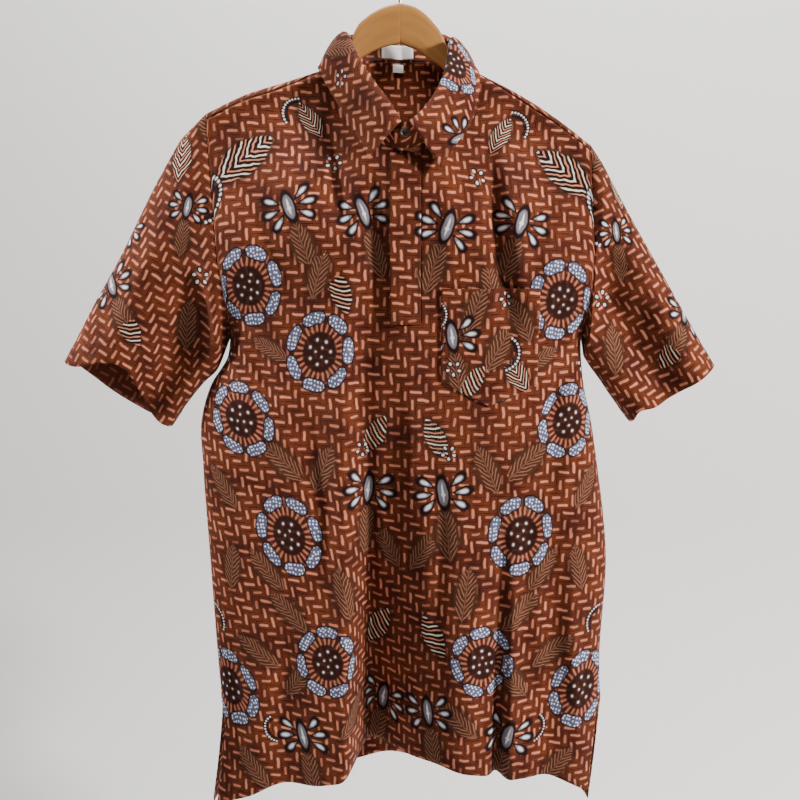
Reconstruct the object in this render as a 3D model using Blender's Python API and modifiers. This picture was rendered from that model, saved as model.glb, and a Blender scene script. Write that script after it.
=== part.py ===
"""A batik pullover shirt with short sleeves, hung on a contoured wooden hanger.

Metres, +Z up. The origin is the inside top of the hanger's hook, where a rail holds it. The front
of the shirt faces -Y. Heights are given as a drop below the origin, so they are positive. Left and
right are those of someone who looks at the front: left is -X.
"""
from math import asin, cos, exp, pi, radians, sin

import bmesh
import bpy
import numpy as np

# ---- driving sizes ---------------------------------------------------------------------------
CLOTH = 0.0016          # thickness of one cloth wall
SEAM_GAP = 0.0003       # space left between two pieces that are sewn together
NECK_SHARE = 0.315      # the neck hole's half width, as a share of the body's half width
NECK_HALF_WIDTH = 0.2155  # the body's half width that the back's neck edge is drawn on
NECK_CENTRE_DROP = 0.245
BACK_NECK_DROP = 0.140
SHOULDER_RIDGE = 0.010  # radius of the cloth where it lies over the hanger's arms
SHOULDER_SEAM = 0.008   # how far below the ridge the shoulder seam lies, at the sleeve
NECK_POINT_SEAM = 0.0004
UNDERARM_DROP = 0.455
TOP_DROP = 0.150        # the level at which the widths of the neck and the shoulders are taken
VENT_DROP = 0.870       # where the side vents start
FRONT_RISE = 0.20       # height over which the front reaches its full depth
BACK_RISE = 0.08
ROUNDNESS = 2.7         # 2 gives an oval body, more gives a squarer one
BACK_NECK_END = 0.30    # shares of half the collar, from the middle of the back
FRONT_NECK_START = 0.34
BACK_NECK_STEPS = 5
FRONT_NECK_STEPS = 6
ARMHOLE_STEPS = 9
BACK_NECK_ROW = 0.0028  # height of one row of cloth below the back's neck edge
BACK_START = 0.0065     # where the back's flat part starts, below the ridge
NECK_POINT_LIFT = 0.0034  # extra room under the stand where it crosses the shoulder seam
FOLD_LIFT = 0.004       # how far the leaves reach down inside the collar's fold
PLACKET_LEFT = -0.0130
PLACKET_RIGHT = 0.0210
PLACKET_DROP = 0.434
POCKET_LEFT = 0.0430
POCKET_RIGHT = 0.1500
POCKET_TOP = 0.3940     # drops of the pocket's mouth, its lower corners and its point
POCKET_CORNER = 0.4960
POCKET_TIP = 0.5240
LABEL_CLOTH = 0.0010
HOOK_WIRE = 0.0019      # radius of the hook's wire
HOOK_BEND = 0.0200      # inside radius of the hook
ARM_THICK = 0.0125      # the hanger arms, front to back
MITRE_X = -0.0020       # where the two arms meet

# The body's sides: how far the left and right edges stand from the middle at each drop.
SIDES = ("drop", "left", "right")
SIDE_ROWS = [
    (0.150, 0.2160, 0.2080), (0.210, 0.2150, 0.2080), (0.300, 0.2075, 0.2105),
    (0.360, 0.2025, 0.2120), (0.420, 0.1965, 0.2080), (0.455, 0.1970, 0.2050),
    (0.475, 0.2005, 0.2060), (0.507, 0.2200, 0.2100), (0.545, 0.2315, 0.2185),
    (0.600, 0.2310, 0.2275), (0.700, 0.2256, 0.2396), (0.830, 0.2181, 0.2347),
    (0.890, 0.2146, 0.2365), (0.950, 0.2195, 0.2318), (1.010, 0.2275, 0.2255),
]

# How far the middle of the front and of the back stand out from the hanger's plane.
DEPTHS = ("drop", "front", "back")
DEPTH_ROWS = [
    (0.150, 0.074, 0.050), (0.245, 0.092, 0.052), (0.320, 0.086, 0.052), (0.450, 0.074, 0.056),
    (0.620, 0.070, 0.062), (0.800, 0.068, 0.064), (1.010, 0.066, 0.062),
]

# The ridge of the shoulders, outwards from the middle.
SHOULDERS = ("out", "left drop", "right drop", "forward")
SHOULDER_ROWS = [
    (0.000, 0.086, 0.086, 0.000), (0.036, 0.108, 0.110, 0.002), (0.068, 0.148, 0.149, 0.006),
    (0.088, 0.154, 0.159, 0.009), (0.130, 0.168, 0.181, 0.015), (0.173, 0.182, 0.209, 0.021),
    (0.216, 0.203, 0.243, 0.026), (0.260, 0.226, 0.280, 0.030),
]

# Folds of the cloth. Each runs from a top to a bottom point, as a ridge where "out" is positive
# and a trough where it is negative. "left" and "right" are its half widths at the bottom.
FOLDS = ("panel", "x top", "drop top", "x bottom", "drop bottom", "out", "left", "right", "grows")
FOLD_ROWS = [
    ("front", -0.028, 0.470, -0.038, 1.000, -0.070, 0.026, 0.085, 1.0),
    ("front", -0.054, 0.240, -0.064, 1.000, 0.013, 0.030, 0.018, 0.4),
    ("front", -0.030, 0.225, -0.026, 0.455, -0.010, 0.016, 0.013, 0.0),
    ("front", 0.108, 0.700, 0.110, 1.000, -0.013, 0.010, 0.020, 0.7),
    ("front", 0.086, 0.200, 0.128, 0.430, -0.010, 0.016, 0.020, 0.0),
    ("front", -0.084, 0.185, -0.066, 0.330, -0.009, 0.014, 0.018, 0.0),
    ("front", -0.165, 0.300, -0.130, 1.000, -0.012, 0.030, 0.034, 0.6),
    ("front", 0.176, 0.330, 0.168, 1.000, -0.013, 0.030, 0.028, 0.6),
    ("front", 0.062, 0.440, 0.066, 1.000, 0.010, 0.034, 0.030, 0.5),
    ("back", 0.000, 0.240, -0.010, 1.010, 0.016, 0.060, 0.060, 0.6),
    ("back", -0.095, 0.260, -0.105, 1.010, -0.024, 0.042, 0.050, 0.8),
    ("back", 0.100, 0.280, 0.120, 1.010, -0.026, 0.050, 0.040, 0.8),
    ("back", -0.170, 0.420, -0.168, 1.010, 0.012, 0.030, 0.024, 0.5),
    ("back", 0.178, 0.400, 0.184, 1.010, 0.010, 0.026, 0.024, 0.5),
]

# The front's lower edge, from the left side seam (-1) to the right one (1).
HEM = ("share", "drop")
HEM_ROWS = [
    (-1.00, 1.0050), (-0.80, 0.9860), (-0.69, 0.9740), (-0.55, 0.9690), (-0.40, 0.9670),
    (-0.31, 0.9600), (-0.24, 0.9460), (-0.10, 0.9440), (0.12, 0.9450), (0.28, 0.9500),
    (0.48, 0.9600), (0.84, 0.9700), (1.00, 0.9900),
]

# The collar, from the middle of the back (0) round one side to the front end (1).
COLLAR = ("along", "fold x", "fold y", "fold drop", "edge x", "edge y", "edge drop")
COLLAR_LEFT_ROWS = [
    (0.00, 0.000, 0.046, 0.1050, 0.000, 0.061, 0.1520),
    (0.20, -0.044, 0.034, 0.1090, -0.058, 0.047, 0.1545),
    (0.35, -0.0645, 0.004, 0.1150, -0.0850, 0.006, 0.1520),
    (0.50, -0.0589, -0.030, 0.1180, -0.0877, -0.026, 0.1560),
    (0.65, -0.0450, -0.056, 0.1490, -0.0720, -0.047, 0.1860),
    (0.80, -0.0275, -0.074, 0.1775, -0.0570, -0.067, 0.2150),
    (0.92, -0.0120, -0.087, 0.1990, -0.0430, -0.086, 0.2400),
    (1.00, -0.0015, -0.094, 0.2180, -0.0356, -0.094, 0.2560),
]
COLLAR_RIGHT_ROWS = [
    (0.00, 0.000, 0.046, 0.1050, 0.000, 0.061, 0.1520),
    (0.20, 0.044, 0.034, 0.1090, 0.058, 0.047, 0.1555),
    (0.35, 0.0570, 0.004, 0.1220, 0.0745, 0.006, 0.1490),
    (0.50, 0.0528, -0.030, 0.1235, 0.0815, -0.026, 0.1610),
    (0.65, 0.0480, -0.057, 0.1570, 0.0795, -0.046, 0.1890),
    (0.80, 0.0345, -0.076, 0.1880, 0.0730, -0.061, 0.2160),
    (0.92, 0.0200, -0.089, 0.2080, 0.0570, -0.081, 0.2410),
    (1.00, 0.0080, -0.095, 0.2185, 0.0414, -0.096, 0.2664),
]

# Each sleeve from the armhole (0) to the cuff (1): its top and its underarm edge in front view,
# and how far it stands to the front and to the back of its middle.
SLEEVE = ("along", "top out", "top drop", "under out", "under drop", "front", "back")
SLEEVE_LEFT_ROWS = [
    (0.15, 0.2472, 0.2313, 0.2040, 0.4740, 0.044, 0.034),
    (0.35, 0.2780, 0.2830, 0.2120, 0.4900, 0.040, 0.034),
    (0.60, 0.3200, 0.3620, 0.2290, 0.5060, 0.040, 0.036),
    (0.80, 0.3500, 0.4120, 0.2480, 0.5290, 0.043, 0.040),
    (1.00, 0.3873, 0.4798, 0.2671, 0.5559, 0.046, 0.046),
]
SLEEVE_RIGHT_ROWS = [
    (0.15, 0.2250, 0.2580, 0.2080, 0.4740, 0.042, 0.034),
    (0.35, 0.2550, 0.3110, 0.2160, 0.4860, 0.038, 0.034),
    (0.60, 0.2950, 0.3780, 0.2290, 0.5030, 0.038, 0.036),
    (0.80, 0.3250, 0.4280, 0.2430, 0.5230, 0.042, 0.040),
    (1.00, 0.3587, 0.4837, 0.2640, 0.5500, 0.045, 0.045),
]
SLEEVE_TROUGH = {"left": 0.016, "right": 0.012}
TROUGH_TURN = 1.95      # where round the sleeve the trough lies, and its width, in radians
TROUGH_WIDTH = 0.42
CUFF_RISE = {"left": 0.020, "right": 0.003}   # how much the front of the cuff is lifted

# The upper and lower edges of the hanger's arms where they show, outwards from the mitre.
ARMS = ("out", "left top", "left under", "right top", "right under")
ARM_ROWS = [
    (0.000, 0.0797, 0.1240, 0.0797, 0.1240), (0.020, 0.0850, 0.1285, 0.0860, 0.1320),
    (0.036, 0.0945, 0.1360, 0.1000, 0.1430), (0.048, 0.1065, 0.1450, 0.1170, 0.1520),
    (0.054, 0.1200, 0.1540, 0.1330, 0.1600), (0.060, 0.1500, 0.1660, 0.1490, 0.1690),
    (0.066, 0.1545, 0.1720, 0.1555, 0.1750), (0.074, 0.1575, 0.1780, 0.1600, 0.1820),
    (0.100, 0.1625, 0.1860, 0.1700, 0.1940), (0.150, 0.1790, 0.2030, 0.1990, 0.2230),
    (0.180, 0.1895, 0.2120, 0.2180, 0.2400), (0.196, 0.1990, 0.2120, 0.2310, 0.2430),
]


# ---- shape functions ---------------------------------------------------------------------------
def through(rows, column):
    """A smooth curve of one column of a table over its first column."""
    xs = np.array([row[0] for row in rows])
    ys = np.array([row[column] for row in rows])
    slopes = np.gradient(ys, xs)

    def at(x):
        x = np.clip(x, xs[0], xs[-1])
        i = np.clip(np.searchsorted(xs, x) - 1, 0, len(xs) - 2)
        span = xs[i + 1] - xs[i]
        t = (x - xs[i]) / span
        ends = ys[i] * (1 + 2 * t) * (1 - t) ** 2 + ys[i + 1] * t * t * (3 - 2 * t)
        return ends + span * t * (1 - t) * (slopes[i] * (1 - t) - slopes[i + 1] * t)

    return at


def ease(t):
    """0 to 1 with a soft start and end."""
    t = min(max(t, 0.0), 1.0)
    return t * t * (3 - 2 * t)


def mix(a, b, t):
    return a + (b - a) * t


left_edge = through(SIDE_ROWS, SIDES.index("left"))
right_edge = through(SIDE_ROWS, SIDES.index("right"))
front_depth = through(DEPTH_ROWS, DEPTHS.index("front"))
back_depth = through(DEPTH_ROWS, DEPTHS.index("back"))
ridge_left = through(SHOULDER_ROWS, SHOULDERS.index("left drop"))
ridge_right = through(SHOULDER_ROWS, SHOULDERS.index("right drop"))
ridge_forward = through(SHOULDER_ROWS, SHOULDERS.index("forward"))
hem_curve = through(HEM_ROWS, HEM.index("drop"))


def half_width(share, drop):
    return left_edge(drop) if share < 0 else right_edge(drop)


def ridge_drop(x):
    """How far below the origin the ridge of the shoulder lies."""
    return ridge_left(-x) if x < 0 else ridge_right(x)


def seam_below(x):
    """How far below the ridge the shoulder seam lies."""
    return mix(NECK_POINT_SEAM, SHOULDER_SEAM, ease((abs(x) - 0.068) / 0.08))


def fold_depth(panel, x, drop):
    """All of a panel's folds at one place: positive stands out."""
    total = 0.0
    for name, x_top, drop_top, x_bottom, drop_bottom, out, left, right, grows in FOLD_ROWS:
        if name != panel:
            continue
        down = (drop - drop_top) / (drop_bottom - drop_top)
        if down <= 0 or (down >= 1 and grows == 0):
            continue
        if grows == 0:
            strength = sin(pi * down)
            width = 1.0
        else:
            strength = ease(down) ** grows
            width = mix(0.55, 1.0, min(down, 1.0))
        aside = x - mix(x_top, x_bottom, down)
        reach = aside / (width * (left if aside < 0 else right))
        total += out * strength / (1 + reach ** 2) ** 2
    return total


def body_y(panel, share, drop):
    """How far to the front (negative) or back a panel lies, share from -1 (left) to 1 (right)."""
    x = share * half_width(share, drop)
    below = max(drop - ridge_drop(x), 0.0)
    rise = ease(below / (FRONT_RISE if panel == "front" else BACK_RISE * 2))
    if panel == "back" and abs(share) < NECK_SHARE:
        rise = mix(ease(below / BACK_RISE), rise, (share / NECK_SHARE) ** 2)
    ridge_part = SHOULDER_RIDGE * (1 - (1 - min(below / SHOULDER_RIDGE, 1)) ** 2) ** 0.5
    open_share = 1 - 0.13 * ease((UNDERARM_DROP - drop) / 0.09)
    side = (1 - min(abs(share) * open_share, 1.0) ** ROUNDNESS) ** (1 / ROUNDNESS)
    depth = (front_depth if panel == "front" else back_depth)(drop)
    folds = fold_depth(panel, x, drop) * min(side * 1.4, 1.0) * rise
    out = ridge_part * (1 - rise) + depth * rise * side + folds
    middle = -ridge_forward(abs(x)) * (1 - ease(below / 0.30))
    return middle - out if panel == "front" else middle + out


def body_point(panel, share, drop, out=0.0):
    """A point of a panel, moved out from the body by a small distance."""
    x = share * half_width(share, drop)
    y = body_y(panel, share, drop)
    return np.array((x, y - out if panel == "front" else y + out, -drop))


def place_on_front(x, drop, out):
    """A point over the front at x, moved out along the front's own direction."""
    def surface(px, pdrop):
        return body_point("front", px / half_width(px, pdrop), pdrop)

    step = 0.002
    across = surface(x + step, drop) - surface(x - step, drop)
    down = surface(x, drop + step) - surface(x, drop - step)
    normal = np.cross(down, across)
    return surface(x, drop) + out * normal / np.linalg.norm(normal)


def front_top(share):
    """The front's upper edge: shoulder seams and the neck hole between them."""
    x = share * half_width(share, TOP_DROP)
    if abs(share) >= NECK_SHARE:
        return ridge_drop(x) + seam_below(x)
    neck_point = ridge_drop(x / max(abs(share), 1e-6) * NECK_SHARE) + NECK_POINT_SEAM
    dip = (1 - (abs(share) / NECK_SHARE) ** 2.2) ** 0.62
    return mix(neck_point, NECK_CENTRE_DROP, dip)


def back_top(share):
    """The back's neck edge."""
    neck_point = ridge_drop(share / max(abs(share), 1e-6) * NECK_SHARE * NECK_HALF_WIDTH)
    return mix(BACK_NECK_DROP, neck_point, (share / NECK_SHARE) ** 2)


def front_hem(share):
    return hem_curve(share)


def back_hem(share):
    return 0.985 + 0.028 * abs(share) ** 4


# ---- building helpers --------------------------------------------------------------------------
def new_collection(name):
    collection = bpy.data.collections.new(name)
    bpy.context.scene.collection.children.link(collection)
    return collection


def new_material(name, color, roughness, metallic=0.0):
    material = bpy.data.materials.new(name)
    material.use_nodes = True
    shader = material.node_tree.nodes["Principled BSDF"]
    shader.inputs["Base Color"].default_value = (*color, 1.0)
    shader.inputs["Roughness"].default_value = roughness
    shader.inputs["Metallic"].default_value = metallic
    return material


def new_object(name, mesh, material, collection):
    thing = bpy.data.objects.new(name, mesh)
    mesh.materials.append(material)
    collection.objects.link(thing)
    return thing


def cloth(name, rows, material, collection, flip=False, closed=False, thickness=CLOTH):
    """A cloth wall through rows of points. Its outer face is on the points."""
    count = len(rows[0])
    points = [tuple(float(value) for value in point) for row in rows for point in row]
    faces = []
    for r in range(len(rows) - 1):
        for c in range(count if closed else count - 1):
            n = (c + 1) % count
            face = [r * count + c, (r + 1) * count + c, (r + 1) * count + n, r * count + n]
            faces.append(face[::-1] if flip else face)
    mesh = bpy.data.meshes.new(name)
    mesh.from_pydata(points, [], faces)
    mesh.shade_smooth()
    wall = new_object(name, mesh, material, collection)
    solidify = wall.modifiers.new("wall", "SOLIDIFY")
    solidify.thickness = thickness
    solidify.offset = -1
    return wall


def loft(name, sections, material, collection):
    """A closed solid through sections that all have the same number of points."""
    count = len(sections[0])
    points = [tuple(float(value) for value in point) for section in sections for point in section]
    faces = []
    for r in range(len(sections) - 1):
        for c in range(count):
            n = (c + 1) % count
            faces.append([r * count + c, r * count + n, (r + 1) * count + n, (r + 1) * count + c])
    last = (len(sections) - 1) * count
    faces.append(list(range(count))[::-1])
    faces.append([last + c for c in range(count)])
    mesh = bpy.data.meshes.new(name)
    mesh.from_pydata(points, [], faces)
    edit = bmesh.new()
    edit.from_mesh(mesh)
    bmesh.ops.recalc_face_normals(edit, faces=edit.faces)
    edit.to_mesh(mesh)
    edit.free()
    return new_object(name, mesh, material, collection)


def cut(target, cutter):
    boolean = target.modifiers.new("cut " + cutter.name, "BOOLEAN")
    boolean.operation = "DIFFERENCE"
    boolean.object = cutter
    cutter.hide_render = True
    cutter.display_type = "WIRE"


# ---- cloth pieces --------------------------------------------------------------------------------
def panel_shares(middle_steps, shoulder_steps):
    """Columns of a panel, closer together at the neck points and the side seams."""
    inside = [k / middle_steps for k in range(middle_steps)] + [1 - 0.5 / middle_steps, 1.0]
    neck = [NECK_SHARE * sin(pi / 2 * t) for t in [-t for t in inside[:0:-1]] + inside]
    out = [mix(NECK_SHARE, 1.0, sin(pi / 2 * k / shoulder_steps)) for k in range(1, shoulder_steps + 1)]
    return [-share for share in out[::-1]] + neck + out


def armhole_drops(top):
    """Drops from a panel's upper edge down to the underarm, closer together at both ends."""
    steps = ARMHOLE_STEPS
    return [mix(top, UNDERARM_DROP, (1 - cos(pi * k / steps)) / 2) for k in range(steps + 1)]


def vent(share, drop):
    """Below the vent's top the front's side edges are drawn in a little."""
    drawn = 0.035 * ease((drop - VENT_DROP) / 0.04)
    return share * (1 - drawn * abs(share) ** 8)


def make_front(cloth_material, shirt, cutters):
    shares = panel_shares(FRONT_NECK_STEPS, 8)
    rows = []
    for below in (0.0, 0.0012, 0.004):
        rows.append([body_point("front", share, front_top(share) + below) for share in shares])
    for k in range(1, ARMHOLE_STEPS + 1):
        drops = [armhole_drops(front_top(share))[k] for share in shares]
        rows.append([body_point("front", share, drop) for share, drop in zip(shares, drops)])
    lower_steps = 11
    for k in range(1, lower_steps + 1):
        row = []
        for share in shares:
            drop = mix(UNDERARM_DROP, front_hem(share), k / lower_steps)
            row.append(body_point("front", vent(share, drop), drop))
        rows.append(row)
    rows = [[seam_step(point, share, "front") for point, share in zip(row, shares)] for row in rows]
    front = cloth("front", rows, cloth_material, shirt)
    bpy.ops.mesh.primitive_cube_add(size=1)
    slit = bpy.context.object
    slit.name = "placket_slit"
    slit.scale = (PLACKET_RIGHT - PLACKET_LEFT, 0.10, PLACKET_DROP - TOP_DROP)
    slit.location = ((PLACKET_LEFT + PLACKET_RIGHT) / 2, -0.075, -(PLACKET_DROP + TOP_DROP) / 2)
    bpy.context.collection.objects.unlink(slit)
    cutters.objects.link(slit)
    cut(front, slit)


def seam_step(point, share, panel):
    """Keeps the two panels apart at the side seams, where they meet edge to edge."""
    if abs(share) < 0.999:
        return point
    toward = -1 if panel == "front" else 1
    return point + np.array((0, toward * (SEAM_GAP + CLOTH) / 2, 0))


def make_back(cloth_material, shirt):
    shares = panel_shares(BACK_NECK_STEPS, 8)
    over_steps = 4
    rows = []
    for k in range(over_steps):
        row = []
        for share in shares:
            x = share * half_width(share, TOP_DROP)
            if abs(share) < NECK_SHARE:
                top = back_top(share)
                row.append(body_point("back", share, top + BACK_NECK_ROW * k))
                continue
            row.append(over_shoulder(x, k / over_steps))
        rows.append(row)
    for k in range(ARMHOLE_STEPS + 1):
        row = []
        for share in shares:
            x = share * half_width(share, TOP_DROP)
            top = (back_top(share) if abs(share) < NECK_SHARE else ridge_drop(x)) + BACK_START
            if abs(share) < NECK_SHARE:
                top += BACK_NECK_ROW * over_steps - BACK_START
            row.append(body_point("back", share, armhole_drops(top)[k]))
        rows.append(row)
    lower_steps = 10
    for k in range(1, lower_steps + 1):
        row = []
        for share in shares:
            drop = mix(UNDERARM_DROP, back_hem(share), k / lower_steps)
            row.append(body_point("back", share, drop))
        rows.append(row)
    rows = [[seam_step(point, share, "back") for point, share in zip(row, shares)] for row in rows]
    cloth("back", rows, cloth_material, shirt, flip=True)


def over_shoulder(x, share):
    """A point of the back where it passes over the shoulder: 0 at the seam in front, 1 behind."""
    seam_turn = pi - asin(1 - seam_below(x) / SHOULDER_RIDGE) - 6.5 * SEAM_GAP / SHOULDER_RIDGE
    turn = mix(seam_turn, radians(35), share)
    reach = SHOULDER_RIDGE * cos(turn)
    lift = SHOULDER_RIDGE * (1 - sin(turn))
    return np.array((x, reach - ridge_forward(abs(x)), -ridge_drop(x) - lift))


def armhole_point(side, turn):
    """A point of the armhole: turn 0 is its top, 180 degrees the underarm, the front comes first."""
    sign = -1 if side == "left" else 1
    x_top = half_width(sign, TOP_DROP)
    down = (1 - cos(turn)) / 2
    front = turn <= pi
    drop = mix(ridge_drop(sign * x_top), UNDERARM_DROP, down)
    return body_point("front" if front else "back", sign, drop)


def sleeve_point(side, along, turn, out=0.0):
    """A point of a sleeve: along from the armhole (0) to the cuff (1), turn as for the armhole."""
    sign = -1 if side == "left" else 1
    rows = SLEEVE_LEFT_ROWS if side == "left" else SLEEVE_RIGHT_ROWS
    first = rows[0][0]
    column = {name: through(rows, k)(max(along, first)) for k, name in enumerate(SLEEVE)}
    top = np.array((sign * column["top out"], 0, -column["top drop"]))
    under = np.array((sign * column["under out"], 0, -column["under drop"]))
    across = (top - under) / 2
    front = turn <= pi
    c = cos(turn)
    s = abs(sin(turn))
    reach = column["front"] if front else column["back"]
    trough = SLEEVE_TROUGH[side] * ease(along / 0.5) * exp(-((turn - TROUGH_TURN) / TROUGH_WIDTH) ** 2)
    depth = (reach + out) * s ** 0.85 - trough
    middle_y = -0.018 * (1 - along)
    lengthwise = np.array((sign * across[2], 0, -abs(across[0]))) / np.linalg.norm(across)
    rise = CUFF_RISE[side] * ease((along - 0.5) / 0.5) * s ** 2 if front else 0.0
    centre = (top + under) / 2
    edge = across * (1 + out / np.linalg.norm(across))
    ring = centre + edge * c + np.array((0, middle_y + (-depth if front else depth), 0)) - lengthwise * rise
    if along >= first:
        return ring
    start = armhole_point(side, turn) + np.array((sign * 3 * SEAM_GAP, 0, 0))
    return mix(start, ring, 0.35 * ease(along / first) + 0.65 * along / first)


def make_sleeve(side, cloth_material, shirt):
    around = 22
    steps = (0.012, 0.05, 0.10, 0.15, 0.24, 0.35, 0.47, 0.60, 0.73, 0.86, 1.0)
    rows = []
    for along in steps:
        rows.append([sleeve_point(side, along, 2 * pi * k / around) for k in range(around)])
    cloth("sleeve_" + side, rows, cloth_material, shirt, flip=(side == "right"), closed=True)


def collar_column(side, along, name):
    rows = COLLAR_LEFT_ROWS if side == "left" else COLLAR_RIGHT_ROWS
    return float(through(rows, COLLAR.index(name))(along))


def neck_seam(side, along):
    """A point of the seam between body and collar, from the middle of the back to the front."""
    sign = -1 if side == "left" else 1
    if along < BACK_NECK_END - 0.001:
        share = sign * NECK_SHARE * along / BACK_NECK_END
        return body_point("back", share, back_top(share))
    if along < FRONT_NECK_START:
        return over_shoulder(sign * NECK_SHARE * half_width(sign, TOP_DROP), 0)
    share = sign * NECK_SHARE * cos(pi / 2 * (along - FRONT_NECK_START) / (1 - FRONT_NECK_START))
    return body_point("front", share, front_top(share))


def collar_stations(last):
    """Places along half a collar, at the columns of the panels that it is sewn to."""
    turns = [k / BACK_NECK_STEPS for k in range(BACK_NECK_STEPS)] + [1 - 0.5 / BACK_NECK_STEPS, 1]
    back = [BACK_NECK_END * sin(pi / 2 * turn) for turn in turns]
    turns = [0, 0.5 / FRONT_NECK_STEPS] + [k / FRONT_NECK_STEPS for k in range(1, FRONT_NECK_STEPS + 1)]
    front = [mix(FRONT_NECK_START, 1, turn) for turn in turns]
    return back + front + ([last] if last > 1 else [])


def collar_path(last=1.0):
    """Stations as (side, along), from the left front end round the back to the right front end."""
    stations = collar_stations(last)
    return [("left", along) for along in stations[:0:-1]] + [("right", along) for along in stations]


def fold_point(side, along):
    point = np.array((collar_column(side, along, "fold x"), collar_column(side, along, "fold y"),
                      -collar_column(side, along, "fold drop")))
    past = max(along - 1, 0) * 0.20
    return point + np.array((past if side == "left" else -past * 1.7, 0, -past * 0.2))


def edge_point(side, along):
    return np.array((collar_column(side, along, "edge x"), collar_column(side, along, "edge y"),
                     -collar_column(side, along, "edge drop")))


def collar_wall(side, along):
    """The seam, the fold and the inward direction at one place of the collar."""
    seam = neck_seam(side, along)
    fold = fold_point(side, along)
    inward = np.array((-fold[0], -fold[1], 0))
    inward = inward / max(np.linalg.norm(inward), 1e-6)
    lap = (-0.0013 if side == "right" else 0.0013) * ease((along - 0.88) / 0.12)
    shift = np.array((0, lap, 0))
    return seam + shift, fold + shift, inward


def make_collar_stand(cloth_material, shirt):
    """The band round the neck. Its right end laps over its left end, in front."""
    rows = [[] for _ in range(4)]
    for side, along in collar_path(last=1.05):
        seam, fold, inward = collar_wall(side, along)
        up = (fold - seam) / np.linalg.norm(fold - seam)
        over_ridge = NECK_POINT_LIFT * exp(-((along - FRONT_NECK_START) / 0.05) ** 2)
        foot = seam + up * (4 * SEAM_GAP + over_ridge) + inward * 2 * SEAM_GAP
        top = fold - up * (FOLD_LIFT + SEAM_GAP + CLOTH) + inward * 2 * SEAM_GAP
        for k, row in enumerate(rows):
            share = k / (len(rows) - 1)
            row.append(mix(top, foot, share) - inward * 0.0015 * sin(pi * share))
    cloth("collar_stand", rows, cloth_material, shirt)


def make_collar_fall(cloth_material, shirt):
    """The two leaves: up from the stand, over the fold and down outside it."""
    rows = [[] for _ in range(7)]
    for side, along in collar_path():
        seam, fold, inward = collar_wall(side, along)
        up = (fold - seam) / np.linalg.norm(fold - seam)
        edge = edge_point(side, along)
        rows[0].append(fold - up * FOLD_LIFT + inward * 0.0008)
        rows[1].append(fold - up * 0.0012 + inward * 0.0004)
        rows[2].append(fold - inward * 0.0022)
        for row, share in zip(rows[3:], (0.14, 0.4, 0.7, 1.0)):
            bulge = 0.0032 * sin(pi * min(share + 0.12, 1.0))
            row.append(mix(fold, edge, share) - inward * (0.0034 + bulge))
    cloth("collar_fall", rows, cloth_material, shirt)


def make_placket(cloth_material, shirt):
    """The under band lies behind the front, and the top band laps over it."""
    bands = {"placket_under": (-0.0022, -0.0022), "placket_over": (0.0040, 0.0004)}
    for name, (lift_left, lift_right) in bands.items():
        rows = []
        for k in range(13):
            drop = mix(NECK_CENTRE_DROP + 0.0030, PLACKET_DROP - SEAM_GAP, k / 12)
            row = []
            for c in range(5):
                x = mix(PLACKET_LEFT + SEAM_GAP, PLACKET_RIGHT - SEAM_GAP, c / 4)
                lift = mix(lift_left, lift_right, c / 4)
                row.append(body_point("front", x / half_width(x, drop), drop, lift))
            rows.append(row)
        cloth(name, rows, cloth_material, shirt)


def make_pocket(cloth_material, shirt):
    columns, steps = 8, 10
    rows = []
    for k in range(steps + 1):
        row = []
        for c in range(columns + 1):
            across = c / columns
            bottom = mix(POCKET_TIP, POCKET_CORNER + 0.006 * across, abs(2 * across - 1))
            drop = mix(POCKET_TOP, bottom, k / steps)
            mouth = 0.0012 * (1 - ease(k / 3)) * sin(pi * across)
            x = mix(POCKET_LEFT, POCKET_RIGHT, across)
            row.append(place_on_front(x, drop, 3 * SEAM_GAP + CLOTH + mouth))
        rows.append(row)
    cloth("pocket", rows, cloth_material, shirt)


def make_button(material, shirt, cutters):
    """A four-hole button that faces forward on the collar stand."""
    radius, thick, hole = 0.0052, 0.0026, 0.00055
    profile = [(0.0, thick * 0.75), (radius * 0.62, thick * 0.75), (radius * 0.76, thick),
               (radius * 0.92, thick), (radius, thick * 0.7), (radius * 0.94, 0.0), (0.0, 0.0)]
    mesh = bpy.data.meshes.new("button_profile")
    edges = [(k, k + 1) for k in range(len(profile) - 1)]
    mesh.from_pydata([(x, 0, z) for x, z in profile], edges, [])
    turned = new_object("button_top", mesh, material, shirt)
    screw = turned.modifiers.new("turn", "SCREW")
    screw.steps = 20
    screw.render_steps = 20
    screw.use_merge_vertices = True
    screw.merge_threshold = 0.0001
    seat = mix(neck_seam("right", 0.97), fold_point("right", 0.97), 0.48)
    turned.location = (0.0026, seat[1] - 0.0072, -0.2285)
    turned.rotation_euler = (radians(96), 0, 0)
    for k in range(4):
        bpy.ops.mesh.primitive_cylinder_add(radius=hole, depth=0.02, vertices=8)
        drill = bpy.context.object
        drill.name = f"button_hole_{k + 1}"
        drill.location = (0.0012 * cos(pi / 4 + k * pi / 2), 0.0012 * sin(pi / 4 + k * pi / 2), 0)
        drill.parent = turned
        bpy.context.collection.objects.unlink(drill)
        cutters.objects.link(drill)
        cut(turned, drill)


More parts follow.
